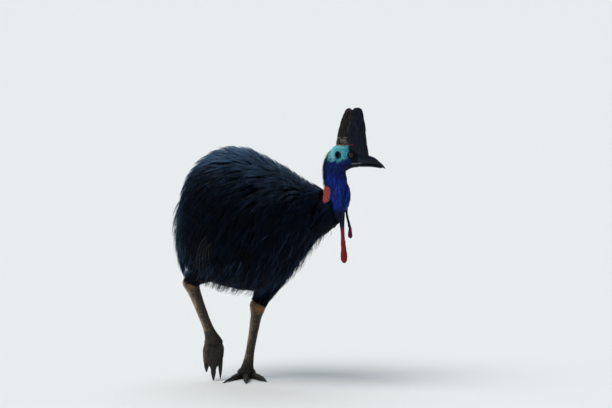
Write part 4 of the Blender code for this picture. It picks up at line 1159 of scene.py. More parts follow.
@dataclass
class Strands:
    """Solid feather strands: flat, three-sided, tapered to a point, with a ridge along the outer side."""

    name: str
    paths: Array
    outs: Array
    half_width: Array
    thickness: float
    tint: Array
    taper: tuple[float, ...] = (0.55, 1.0, 0.95, 0.75, 0.45, 0.0)

    def part(self, name: str, chosen: Array) -> "Strands":
        """Some of the strands under a name of their own."""
        return replace(
            self, name=name, paths=self.paths[chosen], outs=self.outs[chosen],
            half_width=self.half_width[chosen],
            tint=self.tint[chosen],
        )

    def points(self) -> Array:
        """Three points for each place but the last, then the tip: the middle plus or minus the side, dropped
        by
        half the thickness, and the middle lifted by it."""
        along = unit(np.gradient(self.paths, axis=1) + 1e-12)
        side = unit(np.cross(self.outs, along))
        over = np.cross(along, side)
        share = np.linspace(0, 1, self.paths.shape[1])[:-1]
        shape = np.interp(share, np.linspace(0, 1, len(self.taper)), self.taper)[None, :, None]
        middle = self.paths[:, :-1]
        edge = side[:, :-1] * shape * self.half_width[:, None, None]
        lift = over[:, :-1] * shape * self.thickness
        rings = np.stack([middle + edge - lift * 0.5, middle + lift, middle - edge - lift * 0.5], 2)
        flat = rings.reshape(len(self.paths), -1, 3)
        return np.concatenate([flat, self.paths[:, -1:]], 1)

    def faces(self) -> Indices:
        """The triangles of one strand: walls between its rings, a cap at the root and a fan to the tip."""
        count = self.paths.shape[1] - 1
        ring, side = np.meshgrid(np.arange(count - 1), np.arange(3), indexing="ij")
        here, beside = ring * 3 + side, ring * 3 + (side + 1) % 3
        edge, tip = (count - 1) * 3 + np.arange(3), count * 3
        return np.concatenate([
            np.stack([here, beside, beside + 3], -1).reshape(-1, 3),
            np.stack([here, beside + 3, here + 3], -1).reshape(-1, 3),
            np.stack([edge, (count - 1) * 3 + (np.arange(3) + 1) % 3, np.full(3, tip)], -1),
            np.array([[2, 1, 0]]),
        ])

    def build(self, finish: bpy.types.Material) -> list[bpy.types.Object]:
        """The strands as one or more meshes, each under the limit of triangles."""
        points, face = self.points(), self.faces()
        face = outward(points[0], face)
        room = MOST_TRIANGLES // len(face)
        parts = math.ceil(len(points) / room)
        made = []
        for number, chosen in enumerate(np.array_split(np.arange(len(points)), parts)):
            corners = points.shape[1]
            faces = (face[None] + np.arange(len(chosen))[:, None, None] * corners).reshape(-1, 3)
            name = self.name if parts == 1 else f"{self.name}_{number + 1}"
            piece = add_mesh(name, points[chosen].reshape(-1, 3), faces)
            mark(piece, "tint", np.repeat(self.tint[chosen], corners))
            self.bake_map(piece, self.paths[chosen, 0], faces, corners)
            place(piece, finish, Slot.COAT)
            made.append(piece)
        return made

    def bake_map(self, piece: bpy.types.Object, roots: Array, faces: Indices, corners: int) -> None:
        """Each strand as a small patch at its root's place on the skin's unwrap: across by the side of its
        ring,
        and along by the number of the ring."""
        local = np.arange(corners)
        across = np.where(local == corners - 1, 1, local % 3) / 2
        along = (local // 3) / max(1, (corners - 1) // 3)
        patch = np.stack([across, along], -1) * BAKE_PATCH
        spots = (BODY_FORM.unwrap(roots)[:, None, :] + patch[None]).reshape(-1, 2)
        layer = piece.data.uv_layers.new(name=BAKE_MAP)
        layer.data.foreach_set("uv", spots[faces.ravel()].astype(np.float32).ravel())


@dataclass
class Plumage:
    """Feathers of the whole coat, each one a bundle of hair-like strands that fan out towards its tip."""

    skin_level: float = 0.80
    places: int = 6
    long_places: int = 5
    short_places: int = 4
    body_feathers: int = 1560
    body_strands: int = 14
    down_feathers: int = 1150
    nape_feathers: int = 230
    mantle_feathers: int = 4500
    thigh_feathers: int = 350
    rump_feathers: int = 150
    collar_feathers: int = 900
    fringe_strands: int = 1000
    strand_half_width: tuple[float, float] = (0.0011, 0.0021)
    strand_thickness: float = 0.0007
    seed: int = 31
    rng: np.random.Generator = field(init=False)

    def __post_init__(self) -> None:
        """Starts the random draw."""
        self.rng = np.random.default_rng(self.seed)

    def rise(self, count: int, top: Array, start: float) -> Array:
        """Levels along each path: from the skin they climb fast and then lie flat, as 1 - (1 - s)^2.4."""
        share = np.linspace(0, 1, self.places)
        climb = 1 - (1 - share) ** 2.4
        return (
            start + (top[:, None] - start) * climb[None, :]
            + self.rng.uniform(-0.004, 0.004, (count, 1)) * share
        )

    def bundle(
        self, paths: Array, outs: Array, strands: int, spread: float, curl: float, places: int
    ) -> tuple[Array, Array]:
        """Strands of each feather.

        A strand follows the feather's path for 62 to 100 percent of its length. It moves sideways by its own
        share of the spread, growing along the path, with a slow wave of its own on top.

        Args:
            paths: the feathers' paths.
            outs: the outward directions along them.
            strands: how many strands a feather has.
            spread: half the width of the fan at the tip.
            curl: the height of each strand's wave.
            places: how many points a strand has.

        Returns:
            The strands' paths and outward directions.
        """
        count, steps = paths.shape[:2]
        share = np.linspace(0, 1, places)
        reach = self.rng.uniform(0.62, 1.0, (count, strands, 1))
        read = share * reach * (steps - 1)
        low = np.minimum(read.astype(int), steps - 2)
        part = (read - low)[..., None]
        feather = np.arange(count)[:, None, None]
        line = paths[feather, low] * (1 - part) + paths[feather, low + 1] * part
        out = unit(outs[feather, low] * (1 - part) + outs[feather, low + 1] * part)
        along = unit(np.gradient(line, axis=2))
        side = np.cross(out, along)
        aside = self.rng.uniform(-1, 1, (count, strands, 1)) * spread * (0.22 + 0.78 * share**1.3)
        phase = self.rng.uniform(0, 2 * math.pi, (count, strands, 1))
        wave = curl * np.sin(5.0 * share + phase) * share
        lift = self.rng.uniform(-0.4, 1.0, (count, strands, 1)) * spread * 0.30 * share**1.5
        line = line + side * (aside + wave)[..., None] + out * lift[..., None]
        return line.reshape(-1, places, 3), out.reshape(-1, places, 3)

    def strands(
        self, name: str, paths: Array, outs: Array, strands: int, spread: float, curl: float, places: int
    ) -> Strands:
        """A feather group as solid strands with their widths and tints, with painted sheen: bluer where they face
        upwards, less so in front, and bluer where they face backwards high on the body.
        """
        lines, out = self.bundle(paths, outs, strands, spread, curl, places)
        width = self.rng.uniform(*self.strand_half_width, len(lines))
        facing, at = out[:, places // 2], lines[:, places // 2]
        # painted sky sheen: strands that face upwards are tinted towards steel blue, less so in front
        sky = ease(0.30, 0.97, facing[:, 2]) * (1 - 0.62 * ease(-0.14, 0.14, at[:, 0]))
        # painted light on the rear: strands that face backwards high on the body are tinted bluer too
        behind = ease(0.25, 0.95, -facing[:, 0]) * ease(0.45, 0.60, at[:, 2])
        # each feather's own random tone, real
        feather_tint = np.repeat(self.rng.uniform(-0.16, 0.16, len(paths)), strands)
        tint = 0.62 - 0.60 * sky - 0.56 * behind + feather_tint + self.rng.uniform(-0.12, 0.16, len(lines))
        return Strands(name, lines, out, width, self.strand_thickness, np.clip(tint, 0, 1))

    def body(self) -> Strands:
        """The coat of the body, smooth on the back and shaggier towards the belly."""
        roots = BODY_FORM.roots(self.body_feathers, self.skin_level, self.seed)
        ahead, side, height = NECK_FORM.plane(roots)
        in_neck = (np.abs(side) < 0.044) & (ahead > -0.085) & (height > 0.77)
        roots = roots[~in_neck]
        count = len(roots)
        low = ease(0.80, 0.55, roots[:, 2])
        top = 0.985 - self.rng.uniform(0.0, 1.0, count) * (0.030 + 0.055 * low)
        lengths = self.rng.uniform(0.125, 0.175, count) * (1 + 0.30 * low)
        levels = self.rise(count, top, self.skin_level)
        sway = self.rng.normal(0, 0.10, count)
        paths = BODY_FORM.drape(roots, lengths, levels, sway, 1.03)
        outs = BODY_FORM.normal(paths)
        return self.strands("coat_body", paths, outs, self.body_strands, 0.011, 0.0018, self.long_places)

    def down(self) -> Strands:
        """Broad dull under-feathers that close the gaps between the long ones."""
        roots = BODY_FORM.roots(self.down_feathers, self.skin_level, self.seed + 4)
        ahead, side, height = NECK_FORM.plane(roots)
        roots = roots[(np.abs(side) > 0.040) | (ahead < -0.080) | (height < 0.76)]
        count = len(roots)
        levels = self.rise(count, self.rng.uniform(0.915, 0.955, count), self.skin_level)
        paths = BODY_FORM.drape(
            roots, self.rng.uniform(0.08, 0.11, count), levels, self.rng.normal(0, 0.2, count), 1.0
        )
        lines, outs = self.bundle(paths, BODY_FORM.normal(paths), 3, 0.014, 0.0, self.short_places)
        width = self.rng.uniform(0.005, 0.008, len(lines))
        return Strands("coat_down", lines, outs, width, 0.0010, self.rng.uniform(0.45, 0.80, len(lines)))

    def nape(self) -> Strands:
        """Feathers on the ridge behind the neck, which carry the line of the back up to the bare skin."""
        count = self.nape_feathers
        share, across = self.rng.uniform(0, 1, count), self.rng.uniform(-1, 1, count)
        x = 0.185 + 0.085 * share
        roots = np.stack([x, (0.075 - 0.040 * share) * across, 0.904 + 0.018 * share - 0.030 * across**2], -1)
        start = np.maximum(BODY_FORM.level(roots), 0.90)[:, None] - 0.03
        settle = ease(0.0, 0.8, np.linspace(0, 1, self.places))
        levels = start + (self.rng.uniform(0.965, 0.985, (count, 1)) - start) * settle
        lengths = self.rng.uniform(0.075, 0.115, count)
        paths = BODY_FORM.drape(roots, lengths, levels, self.rng.normal(0, 0.08, count), 1.05)
        return self.strands("coat_nape", paths, BODY_FORM.normal(paths), 12, 0.009, 0.0010, self.short_places)

    def rump(self) -> Strands:
        """Long feathers that droop from the rump over the rear of the body."""
        count = self.rump_feathers
        across = self.rng.uniform(-1, 1, count)
        drop = self.rng.uniform(0, 1, count)
        roots = np.stack([
            -0.470 - 0.012 * drop, 0.075 * across, 0.800 - 0.14 * drop - 0.03 * np.abs(across),
        ], -1)
        roots = BODY_FORM.to_level(roots, 0.93)
        top = self.rng.uniform(0.99, 1.045, count)
        levels = self.rise(count, top, 0.90)
        lengths = self.rng.uniform(0.17, 0.26, count)
        paths = BODY_FORM.drape(roots, lengths, levels, self.rng.normal(0, 0.10, count), 1.15)
        outs = BODY_FORM.normal(paths)
        return self.strands("coat_rump", paths, outs, self.body_strands, 0.011, 0.003, self.long_places)

    def collar(self, skin: Skin) -> Strands:
        """Short feathers that cover the root of the neck up to the collar, and lie down on the shoulders."""
        read = self.rng.uniform(0.0, 2.3, self.collar_feathers * 6)
        rings = NECK_FORM.rings_of(
            spline(np.array(NECK_FORM.stations), read)[:, :5],
            spline(np.array(NECK_FORM.stations), read)[:, 5], 48,
            NECK_FORM.ring_power,
        )
        roots = rings[np.arange(len(rings)), self.rng.integers(0, 48, len(rings))]
        ahead, _, height = NECK_FORM.plane(roots)
        below = skin.collar(ahead) - height + grain(roots, 0.012, 21) * 0.006
        roots = roots[(below > 0.0) & (below < 0.110)][: self.collar_feathers]
        count = len(roots)
        lengths = self.rng.uniform(0.060, 0.105, count)
        start = BODY_FORM.level(roots)[:, None] + 0.004
        settle = ease(0.0, 0.65, np.linspace(0, 1, self.places))
        levels = start + (self.rng.uniform(0.955, 0.98, (count, 1)) - start) * settle
        paths = BODY_FORM.drape(roots, lengths, levels, self.rng.normal(0, 0.06, count), 1.2)
        return self.strands(
            "coat_collar", paths, BODY_FORM.normal(paths), 10, 0.006, 0.001, self.short_places
        )

    def mantle(self) -> Strands:
        """Feathers of the shoulders and the upper back behind the neck, rooted nearer to the coat's surface.
        """
        roots = BODY_FORM.roots(self.mantle_feathers, 0.90, self.seed + 2)
        ahead, side, height = NECK_FORM.plane(roots)
        in_neck = (np.abs(side) < 0.042) & (ahead > -0.090) & (height > 0.80)
        roots = roots[(roots[:, 0] > 0.05) & ~in_neck]
        count = len(roots)
        lengths = self.rng.uniform(0.085, 0.135, count)
        levels = self.rise(count, self.rng.uniform(0.950, 0.985, count), 0.86)
        paths = BODY_FORM.drape(roots, lengths, levels, self.rng.normal(0, 0.08, count), 1.05)
        return self.strands(
            "coat_mantle", paths, BODY_FORM.normal(paths), 11, 0.010, 0.0009, self.short_places
        )

    def fringe(self) -> Strands:
        """Single long hairs that hang below the belly and stand off the rear edge."""
        roots = BODY_FORM.roots(self.fringe_strands * 4, 0.93, self.seed + 1)
        out = BODY_FORM.normal(roots)
        hangs = (out[:, 2] < -0.35) | ((out[:, 0] < -0.75) & (roots[:, 2] < 0.86))
        roots = self.rng.permutation(roots[hangs & (roots[:, 0] < 0.27)])[: self.fringe_strands]
        count = len(roots)
        levels = self.rise(count, self.rng.uniform(0.99, 1.05, count), 0.93)
        lengths = self.rng.uniform(0.07, 0.15, count)
        paths = BODY_FORM.drape(roots, lengths, levels, self.rng.normal(0, 0.25, count), 1.13)
        lines, outs = self.bundle(paths, BODY_FORM.normal(paths), 3, 0.014, 0.004, self.long_places)
        width = self.rng.uniform(0.0004, 0.0008, len(lines))
        return Strands("coat_fringe", lines, outs, width, 0.0005, self.rng.uniform(0, 1, len(lines)))

    def thigh(self, form: ThighForm) -> Strands:
        """Feathers that lie along a drumstick down to the ankle."""
        count = self.thigh_feathers
        start = self.rng.uniform(0.20, 0.93, count)
        turn = np.arange(count) * GOLDEN_TURN
        length = np.linalg.norm(np.array(form.ankle) - np.array(form.root))
        run = self.rng.uniform(0.075, 0.125, count) / length
        share = np.linspace(0, 1, self.places)
        shares = start[:, None] + run[:, None] * share
        shares = np.minimum(shares, form.hem + share * self.rng.uniform(-0.03, 0.035, (count, 1)))
        middle, size, side, front = form.line(np.minimum(shares, 1.0))
        beyond = np.maximum(shares - 1.0, 0)[..., None]
        middle = middle + (np.array(form.ankle) - np.array(form.root)) * beyond
        twist = turn[:, None] + self.rng.normal(0, 0.10, (count, 1)) * share
        out = side * np.cos(twist)[..., None] + front * np.sin(twist)[..., None]
        climb = 1 - (1 - share) ** 2.2
        top = self.rng.uniform(0.86, 1.0, (count, 1))
        reach = form.skin_share + (top - form.skin_share) * climb
        behind = np.clip(-np.cos(twist), 0, 1) * ease(0.45, 0.85, shares) * form.heel
        paths = middle + out * (size * (reach * (1 + behind))[..., None])
        name = f"coat_thigh_{form.side.word}"
        return self.strands(name, paths, out, self.body_strands, 0.009, 0.0018, self.short_places)

    def bristles(self, skin: Skin) -> Strands:
        """Sparse short black bristles on the crown, round the ears and down the back of the neck."""
        read = self.rng.uniform(1.9, 8.6, 9000)
        stations = spline(np.array(NECK_FORM.stations), read)
        rings = NECK_FORM.rings_of(stations[:, :5], stations[:, 5], 64, NECK_FORM.ring_power)
        chosen = self.rng.integers(0, 64, len(rings))
        roots, middles = rings[np.arange(len(rings)), chosen], rings.mean(1)
        ahead, side, height = NECK_FORM.plane(roots)
        rear = skin.nape(height)
        likely = (
            0.95 * ease(0.030, 0.002, ahead - rear) * ease(0.93, 0.96, height) * ease(1.115, 1.055, height)
        )
        ear = np.hypot(ahead - EAR_PLACE[0], height - EAR_PLACE[1])
        likely = np.maximum(likely, 0.8 * hump(ear - 0.009, 0.004))
        likely = np.maximum(likely, 0.02 * ease(0.055, 0.035, ahead))
        kept = (self.rng.uniform(0, 1, len(roots)) < likely) & (height > skin.collar(ahead))
        roots, middles = roots[kept], middles[kept]
        count = len(roots)
        out = unit(roots - middles)
        lie = unit(np.array([-0.45, -0.25, -0.85]) + self.rng.normal(0, 0.18, (count, 3)))
        places = self.short_places
        share = np.linspace(0, 1, places)[None, :, None]
        length = self.rng.uniform(0.005, 0.011, (count, 1, 1))
        bend = unit(out[:, None] * (1 - share) * 0.9 + lie[:, None] * (0.35 + share))
        step = length / (places - 1)
        paths = roots[:, None] - out[:, None] * 0.001 + np.cumsum(bend * step, axis=1)
        width = self.rng.uniform(0.00025, 0.00045, count)
        outs = np.repeat(out[:, None], places, axis=1)
        return Strands("bristles", paths, outs, width, 0.0003, self.rng.uniform(0.2, 0.9, count))

    def build(self, skin: Skin) -> None:
        """Builds every group of the coat, with painted sheen: feathers that face upwards get a strongly glossy copy of
        the finish and the rest a dull one, so that the back shines and the underside stays dark.
        """
        upper = FeatherFinish("plumage_painted_sheen", 0.42).material()
        lower = FeatherFinish("plumage_low_sheen", 0.08).material()
        for group in (self.body(), self.mantle()):
            # painted sheen: strands that face upwards take the glossy copy
            middle = group.outs[:, group.outs.shape[1] // 2, 2]
            above = self.rng.uniform(0, 1, len(middle)) < ease(0.20, 0.85, middle)
            group.part(f"{group.name}_upper", above).build(upper)
            group.part(f"{group.name}_lower", ~above).build(lower)
        groups = [self.down(), self.nape(), self.rump(), self.collar(skin), self.fringe()]
        groups += [self.thigh(LEFT_THIGH), self.thigh(RIGHT_THIGH)]
        for group in groups:
            group.build(lower)
        self.bristles(skin).build(lower)


@dataclass
class Casque:
    """The tall, narrow casque with its notched top and the furrow that runs down from the notch."""

    stations: tuple[tuple[float, ...], ...] = (
        (0.0080, 1.1080, 0.1520, 1.0650, 0.0130),
        (-0.0010, 1.1320, 0.1500, 1.0860, 0.0250),
        (0.0045, 1.1640, 0.1430, 1.1230, 0.0270),
        (0.0100, 1.1950, 0.1385, 1.1650, 0.0250),
        (0.0160, 1.2205, 0.1345, 1.2050, 0.0215),
        (0.0250, 1.2500, 0.1290, 1.2450, 0.0170),
        (0.0370, 1.2800, 0.1210, 1.2805, 0.0115),
        (0.0440, 1.2950, 0.1165, 1.2955, 0.0075),
        (0.0520, 1.3020, 0.1130, 1.3030, 0.0012),
    )
    crest: tuple[tuple[float, float], ...] = (
        (0.029, 1.2690), (0.037, 1.2830), (0.044, 1.2935), (0.051, 1.2988), (0.058, 1.3006), (0.0635, 1.2995),
        (0.0680, 1.2955), (0.0722, 1.2880), (0.0764, 1.2950), (0.083, 1.3000), (0.090, 1.3022),
        (0.098, 1.3028),
        (0.107, 1.3010), (0.1147, 1.2965), (0.120, 1.2895), (0.126, 1.2790),
    )
    notch: float = 0.0722
    grid: tuple[int, int] = (190, 128)
    furrow_depth: float = 0.0022

    def furrow_line(self, height: Array) -> Array:
        """How far forward the furrow lies at a height: it wanders back a little on its way down."""
        return np.interp(height, (1.13, 1.20, 1.262, 1.295), (0.052, 0.060, 0.071, self.notch))

    def build(self) -> bpy.types.Object:
        """Lofts the casque and presses furrow, growth lines and notch into it."""
        rings = NECK_FORM.head_rings(evenly(np.array(self.stations), self.grid[0]), self.grid[1], 1.9)
        ahead, side, height = NECK_FORM.plane(rings)
        furrow = hump(ahead - self.furrow_line(height), 0.0024)
        lift = (
            -self.furrow_depth * furrow * (0.45 + 1.3 * ease(1.245, 1.275, height))
            * ease(1.135, 1.17, height)
        )
        lift += 0.0013 * creases(np.stack([ahead, side, height * 0.16], -1), 0.0075, 31)
        lift += 0.0016 * grain(rings, 0.032, 33)
        plates = creases(rings * np.array([1.0, 1.0, 1.7]), 0.0070, 35)
        foot = ease(1.162, 1.150, height + 0.006 * grain(rings, 0.012, 34)) * ease(0.060, 0.045, ahead)
        lift += 0.0012 * foot * plates
        keel = ease(0.018, 0.004, np.abs(side))
        lift += 0.0008 * keel * grain(rings, 0.006, 36)
        fade = ease(0.0, 5.0, np.arange(len(rings), dtype=float))[:, None]
        fade = fade * ease(0.0, 10.0, np.arange(len(rings), dtype=float)[::-1])[:, None]
        rings = rings + normals_of(rings) * (lift * fade)[..., None]
        ahead, side, height = NECK_FORM.plane(rings)
        rings[..., 2] = np.minimum(rings[..., 2], np.interp(ahead, *np.array(self.crest).T) - 6 * side**2)
        casque = tube("casque_horn", rings)
        points = points_of(casque)
        points[-1, 2] = self.crest[7][1] - 0.003
        casque.data.vertices.foreach_set("co", points.astype(np.float32).ravel())
        ahead, side, height = NECK_FORM.plane(points)
        wander = 0.006 * grain(points, 0.020, 37)
        mark(casque, "rear", ease(0.006, -0.006, ahead + wander - self.furrow_line(height)))
        beside = ahead + 0.2 * wander - self.furrow_line(height) + 0.0065
        mark(
            casque, "furrow",
            0.62 * hump(beside, 0.0024) * ease(1.17, 1.20, height) * ease(1.296, 1.284, height)
        )
        rows = 0.35 + 0.65 * ease(0.0, 0.6, np.cos((height - 1.1400) * 2 * math.pi / 0.0125))
        flakes = ease(1.170, 1.160, height + wander) * ease(0.056, 0.042, ahead + wander)
        mark(casque, "foot", flakes * ease(1.1355, 1.1375, height) * rows)
        line = height - 1.1330 - 0.35 * wander
        mark(casque, "hem", 0.95 * hump(line, 0.0017) * ease(0.082, 0.072, ahead))
        mark(casque, "flush", ease(0.044, 0.060, ahead))
        mark(
            casque, "skirt",
            ease(-0.0022, -0.0038, line) * ease(0.060, 0.050, ahead) * ease(0.004, 0.010, np.abs(side))
        )
        place(casque, CasqueFinish().material(), Slot.CASQUE, "casque")
        return casque


@dataclass
class Bill:
    """Both halves of the bill, each from rows of forward, top height, bottom height and half width."""

    upper: tuple[tuple[float, ...], ...] = (
        (0.0900, 1.1010, 1.0412, 0.0215),
        (0.1003, 1.0985, 1.0412, 0.0215),
        (0.1280, 1.0905, 1.0415, 0.0185),
        (0.1565, 1.0790, 1.0408, 0.0155),
        (0.1750, 1.0715, 1.0385, 0.0130),
        (0.1976, 1.0540, 1.0330, 0.0095),
        (0.2157, 1.0365, 1.0240, 0.0055),
        (0.2281, 1.0205, 1.0190, 0.0010),
    )
    lower: tuple[tuple[float, ...], ...] = (
        (0.0900, 1.0417, 1.0290, 0.0195),
        (0.1003, 1.0417, 1.0290, 0.0190),
        (0.1280, 1.0420, 1.0285, 0.0160),
        (0.1565, 1.0414, 1.0283, 0.0130),
        (0.1800, 1.0380, 1.0265, 0.0100),
        (0.1980, 1.0335, 1.0238, 0.0062),
        (0.2110, 1.0270, 1.0228, 0.0015),
    )
    nostril: tuple[float, float] = (0.1700, 1.0560)
    grid: tuple[int, int] = (120, 72)

    def half(
        self, name: str, rows: tuple[tuple[float, ...], ...], node: str, finish: bpy.types.Material
    ) -> None:
        """One half of the bill with its relief and its pale edge."""
        read = evenly(np.array(rows), self.grid[0])
        profile = np.stack([read[:, 0], read[:, 1], read[:, 0], read[:, 2], read[:, 3]], -1)
        rings = NECK_FORM.head_rings(profile, self.grid[1], 2.0)
        ahead, side, height = NECK_FORM.plane(rings)
        lift = 0.0005 * creases(np.stack([ahead * 0.25, side, height], -1), 0.0050, 41)
        lift += 0.0006 * grain(rings, 0.018, 42)
        if node == "bill_upper":
            hole = np.hypot(
                (ahead - self.nostril[0]) / 0.0080,
                (height - self.nostril[1] + 0.25 * (ahead - 0.17)) / 0.0026
            )
            lift -= 0.0045 * hump(hole, 1.0)
            groove = height - (1.0610 - 0.42 * (ahead - 0.150))
            lift -= 0.0016 * hump(groove, 0.0026) * ease(0.105, 0.125, ahead) * ease(0.205, 0.190, ahead)
            lift += 0.0010 * hump(height - 1.0445 + 0.13 * np.clip(ahead - 0.17, 0, 1), 0.0020)
        fade = ease(0.0, 10.0, np.arange(len(rings), dtype=float)[::-1])[:, None]
        piece = tube(name, rings + normals_of(rings) * (lift * fade)[..., None])
        ahead, _, height = NECK_FORM.plane(points_of(piece))
        line = hump(height - 1.0455, 0.0026) * ease(0.070, 0.080, ahead) * ease(0.124, 0.108, ahead)
        mark(piece, "edge", 0.90 * line)
        place(piece, finish, Slot.BILL, node)

    def build(self) -> None:
        """Both halves."""
        finish = HornFinish("bill_horn").material()
        self.half("bill_top", self.upper, "bill_upper", finish)
        self.half("bill_under", self.lower, "bill_lower", finish)


@dataclass
class Eyes:
    """Two wet eyeballs whose front bulges a little."""

    bulge: float = 0.0012

    def build(self) -> None:
        """Each eye is a ball with its pole facing sideways, and a low bell added over the iris."""
        finish = EyeFinish().material()
        for side in Side:
            middle = NECK_FORM.head(EYE_PLACE[0], side.value * EYE_PLACE[1], EYE_PLACE[2])
            axes = NECK_FORM.axes(EYE_RADIUS, EYE_RADIUS * side.value, EYE_RADIUS)
            eye = ball(f"eyeball_{side.word}", middle, axes, rings=46, sides=48)
            points = points_of(eye)
            facing = (unit(points - middle) * unit(axes[0])).sum(-1)
            away = np.arccos(np.clip(facing, -1, 1))
            points = points + unit(points - middle) * (self.bulge * hump(away, 0.55))[:, None]
            eye.data.vertices.foreach_set("co", points.astype(np.float32).ravel())
            mark(eye, "away", away)
            place(eye, finish, Slot.EYE, f"eye_{side.word}")


@dataclass
class Wattles:
    """Two hanging wattles of unlike length, each from rows of height and the forward places of its edges."""

    right: tuple[tuple[float, ...], ...] = (
        (0.8700, 0.0130, 0.0480), (0.8357, 0.0160, 0.0470), (0.7980, 0.0200, 0.0465),
        (0.7600, 0.0235, 0.0450),
        (0.7145, 0.0295, 0.0465), (0.6710, 0.0295, 0.0515), (0.6390, 0.0290, 0.0565),
        (0.6095, 0.0290, 0.0590),
        (0.5930, 0.0335, 0.0550), (0.5860, 0.0415, 0.0475),
    )
    left: tuple[tuple[float, ...], ...] = (
        (0.8500, 0.0300, 0.0520), (0.8190, 0.0375, 0.0480), (0.7890, 0.0435, 0.0545),
        (0.7600, 0.0500, 0.0620),
        (0.7440, 0.0530, 0.0670), (0.7110, 0.0520, 0.0715), (0.7020, 0.0560, 0.0690),
        (0.6975, 0.0610, 0.0650),
    )
    turn: float = 12.0
    aside: float = 0.020
    flatness: float = 0.45
    red_from: float = 0.742

    def wattle(self, side: Side, rows: tuple[tuple[float, ...], ...], finish: bpy.types.Material) -> None:
        """One wattle: flat rings down its length, wrinkled across and swollen towards the end."""
        read = evenly(np.array(rows), 150)
        angle = math.radians(self.turn)
        ahead = np.array([math.cos(angle), math.sin(angle), 0.0])
        left = np.array([-math.sin(angle), math.cos(angle), 0.0])
        middle, half = (read[:, 1] + read[:, 2]) / 2, (read[:, 2:3] - read[:, 1:2]) / 2
        centres = NECK_FORM.world(middle, side.value * self.aside + 0 * middle, read[:, 0], self.turn)
        rings = loft(centres, ahead * half, left * half * self.flatness, 56)
        wrinkles = creases(rings * np.array([1.0, 1.0, 0.55]), 0.0060, 51)
        lift = 0.00075 * wrinkles + 0.0012 * grain(rings, 0.014, 53)
        low = ease(self.red_from, self.red_from - 0.10, rings[..., 2])
        lift += 0.0006 * low * creases(rings, 0.0040, 55)
        fade = ease(0.0, 10.0, np.arange(len(rings), dtype=float)[::-1])[:, None]
        piece = tube(f"wattle_skin_{side.word}", rings + normals_of(rings) * (lift * fade)[..., None])
        points = points_of(piece)
        wobble = 0.006 * grain(points, 0.010, 57)
        level = points[:, 2] + wobble
        spine = np.interp(points[:, 2], read[::-1, 0], middle[::-1])
        strip = (
            ease(0.0, -0.006, NECK_FORM.plane(points)[0] - spine + 0.3 * wobble) * ease(0.655, 0.70, level)
        )
        mark(
            piece, "root", np.maximum(ease(self.red_from - 0.012, self.red_from + 0.018, level), 0.9 * strip)
        )
        mark(piece, "purple", ease(self.red_from - 0.080, self.red_from, level))
        mark(piece, "blue", ease(self.red_from + 0.070, self.red_from + 0.100, level))
        place(piece, finish, Slot.WATTLE, f"wattle_{side.word}")

    def build(self) -> None:
        """Both wattles."""
        finish = WattleFinish().material()
        self.wattle(Side.RIGHT, self.right, finish)
        self.wattle(Side.LEFT, self.left, finish)


@dataclass
class Quills:
    """Bare wing quills that leave the coat on each flank and droop backwards over it."""

    root: tuple[float, float, float] = (-0.192, 0.193, 0.738)
    lengths: tuple[float, ...] = (0.215, 0.260, 0.295, 0.280, 0.235)
    radius: float = 0.0019
    level: float = 1.03
    reach: float = 0.195

    def quill(self, side: Side, number: int) -> bpy.types.Object:
        """One quill: its heading steepens along the way, and it is moved sideways onto its level of the body.
        """
        share = np.linspace(0, 1, 40)[:, None]
        fan = number / (len(self.lengths) - 1)
        start = (
            np.array(self.root) * (1, side.value, 1)
            + np.array([-0.008 - 0.014 * fan, 0.0, -0.018 + 0.020 * fan])
        )
        steep = np.radians(72 - 16 * fan + 16 * share)
        step = np.concatenate([-np.cos(steep), 0 * steep, -np.sin(steep)], 1)[1:] * np.diff(share, axis=0)
        path = start + np.concatenate([np.zeros((1, 3)), np.cumsum(step, 0)]) * self.lengths[number]
        level = 0.90 + (self.level + 0.01 * number - 0.90) * ease(0.12, 0.42, share[:, 0])
        near, far = np.zeros(len(path)), np.full(len(path), 0.6)
        for _ in range(30):
            middle = (near + far) / 2
            path[:, 1] = side.value * middle
            inside = BODY_FORM.level(path) < level
            near, far = np.where(inside, middle, near), np.where(inside, far, middle)
        sides = np.maximum(near, self.reach * ease(0.05, 0.25, share[:, 0]))
        path[:, 1] = side.value * sides
        along = unit(np.gradient(path, axis=0))
        out = unit(np.cross(along, UP) * side.value)
        size = self.radius * (1 - 0.75 * share) * (1 + 0.10 * np.sin(40 * share))
        return tube("quill", loft(path, out * size, np.cross(along, out) * size, 10))

    def build(self) -> None:
        """The quills of each wing, fused to one short root under the coat."""
        finish = HornFinish(
            "quill_horn", dark=(0.012, 0.012, 0.013), worn=(0.070, 0.066, 0.062), gloss=0.28
        ).material()
        for side in Side:
            base = ball("base", np.array(self.root) * (1, side.value, 1), np.diag([0.027, 0.015, 0.023]))
            fuse(base, [self.quill(side, number) for number in range(len(self.lengths))])
            base.name = f"wing_quills_{side.word}"
            mark(base, "edge", 0 * points_of(base)[:, 0])
            place(base, finish, Slot.QUILL, f"wing_{side.word}")


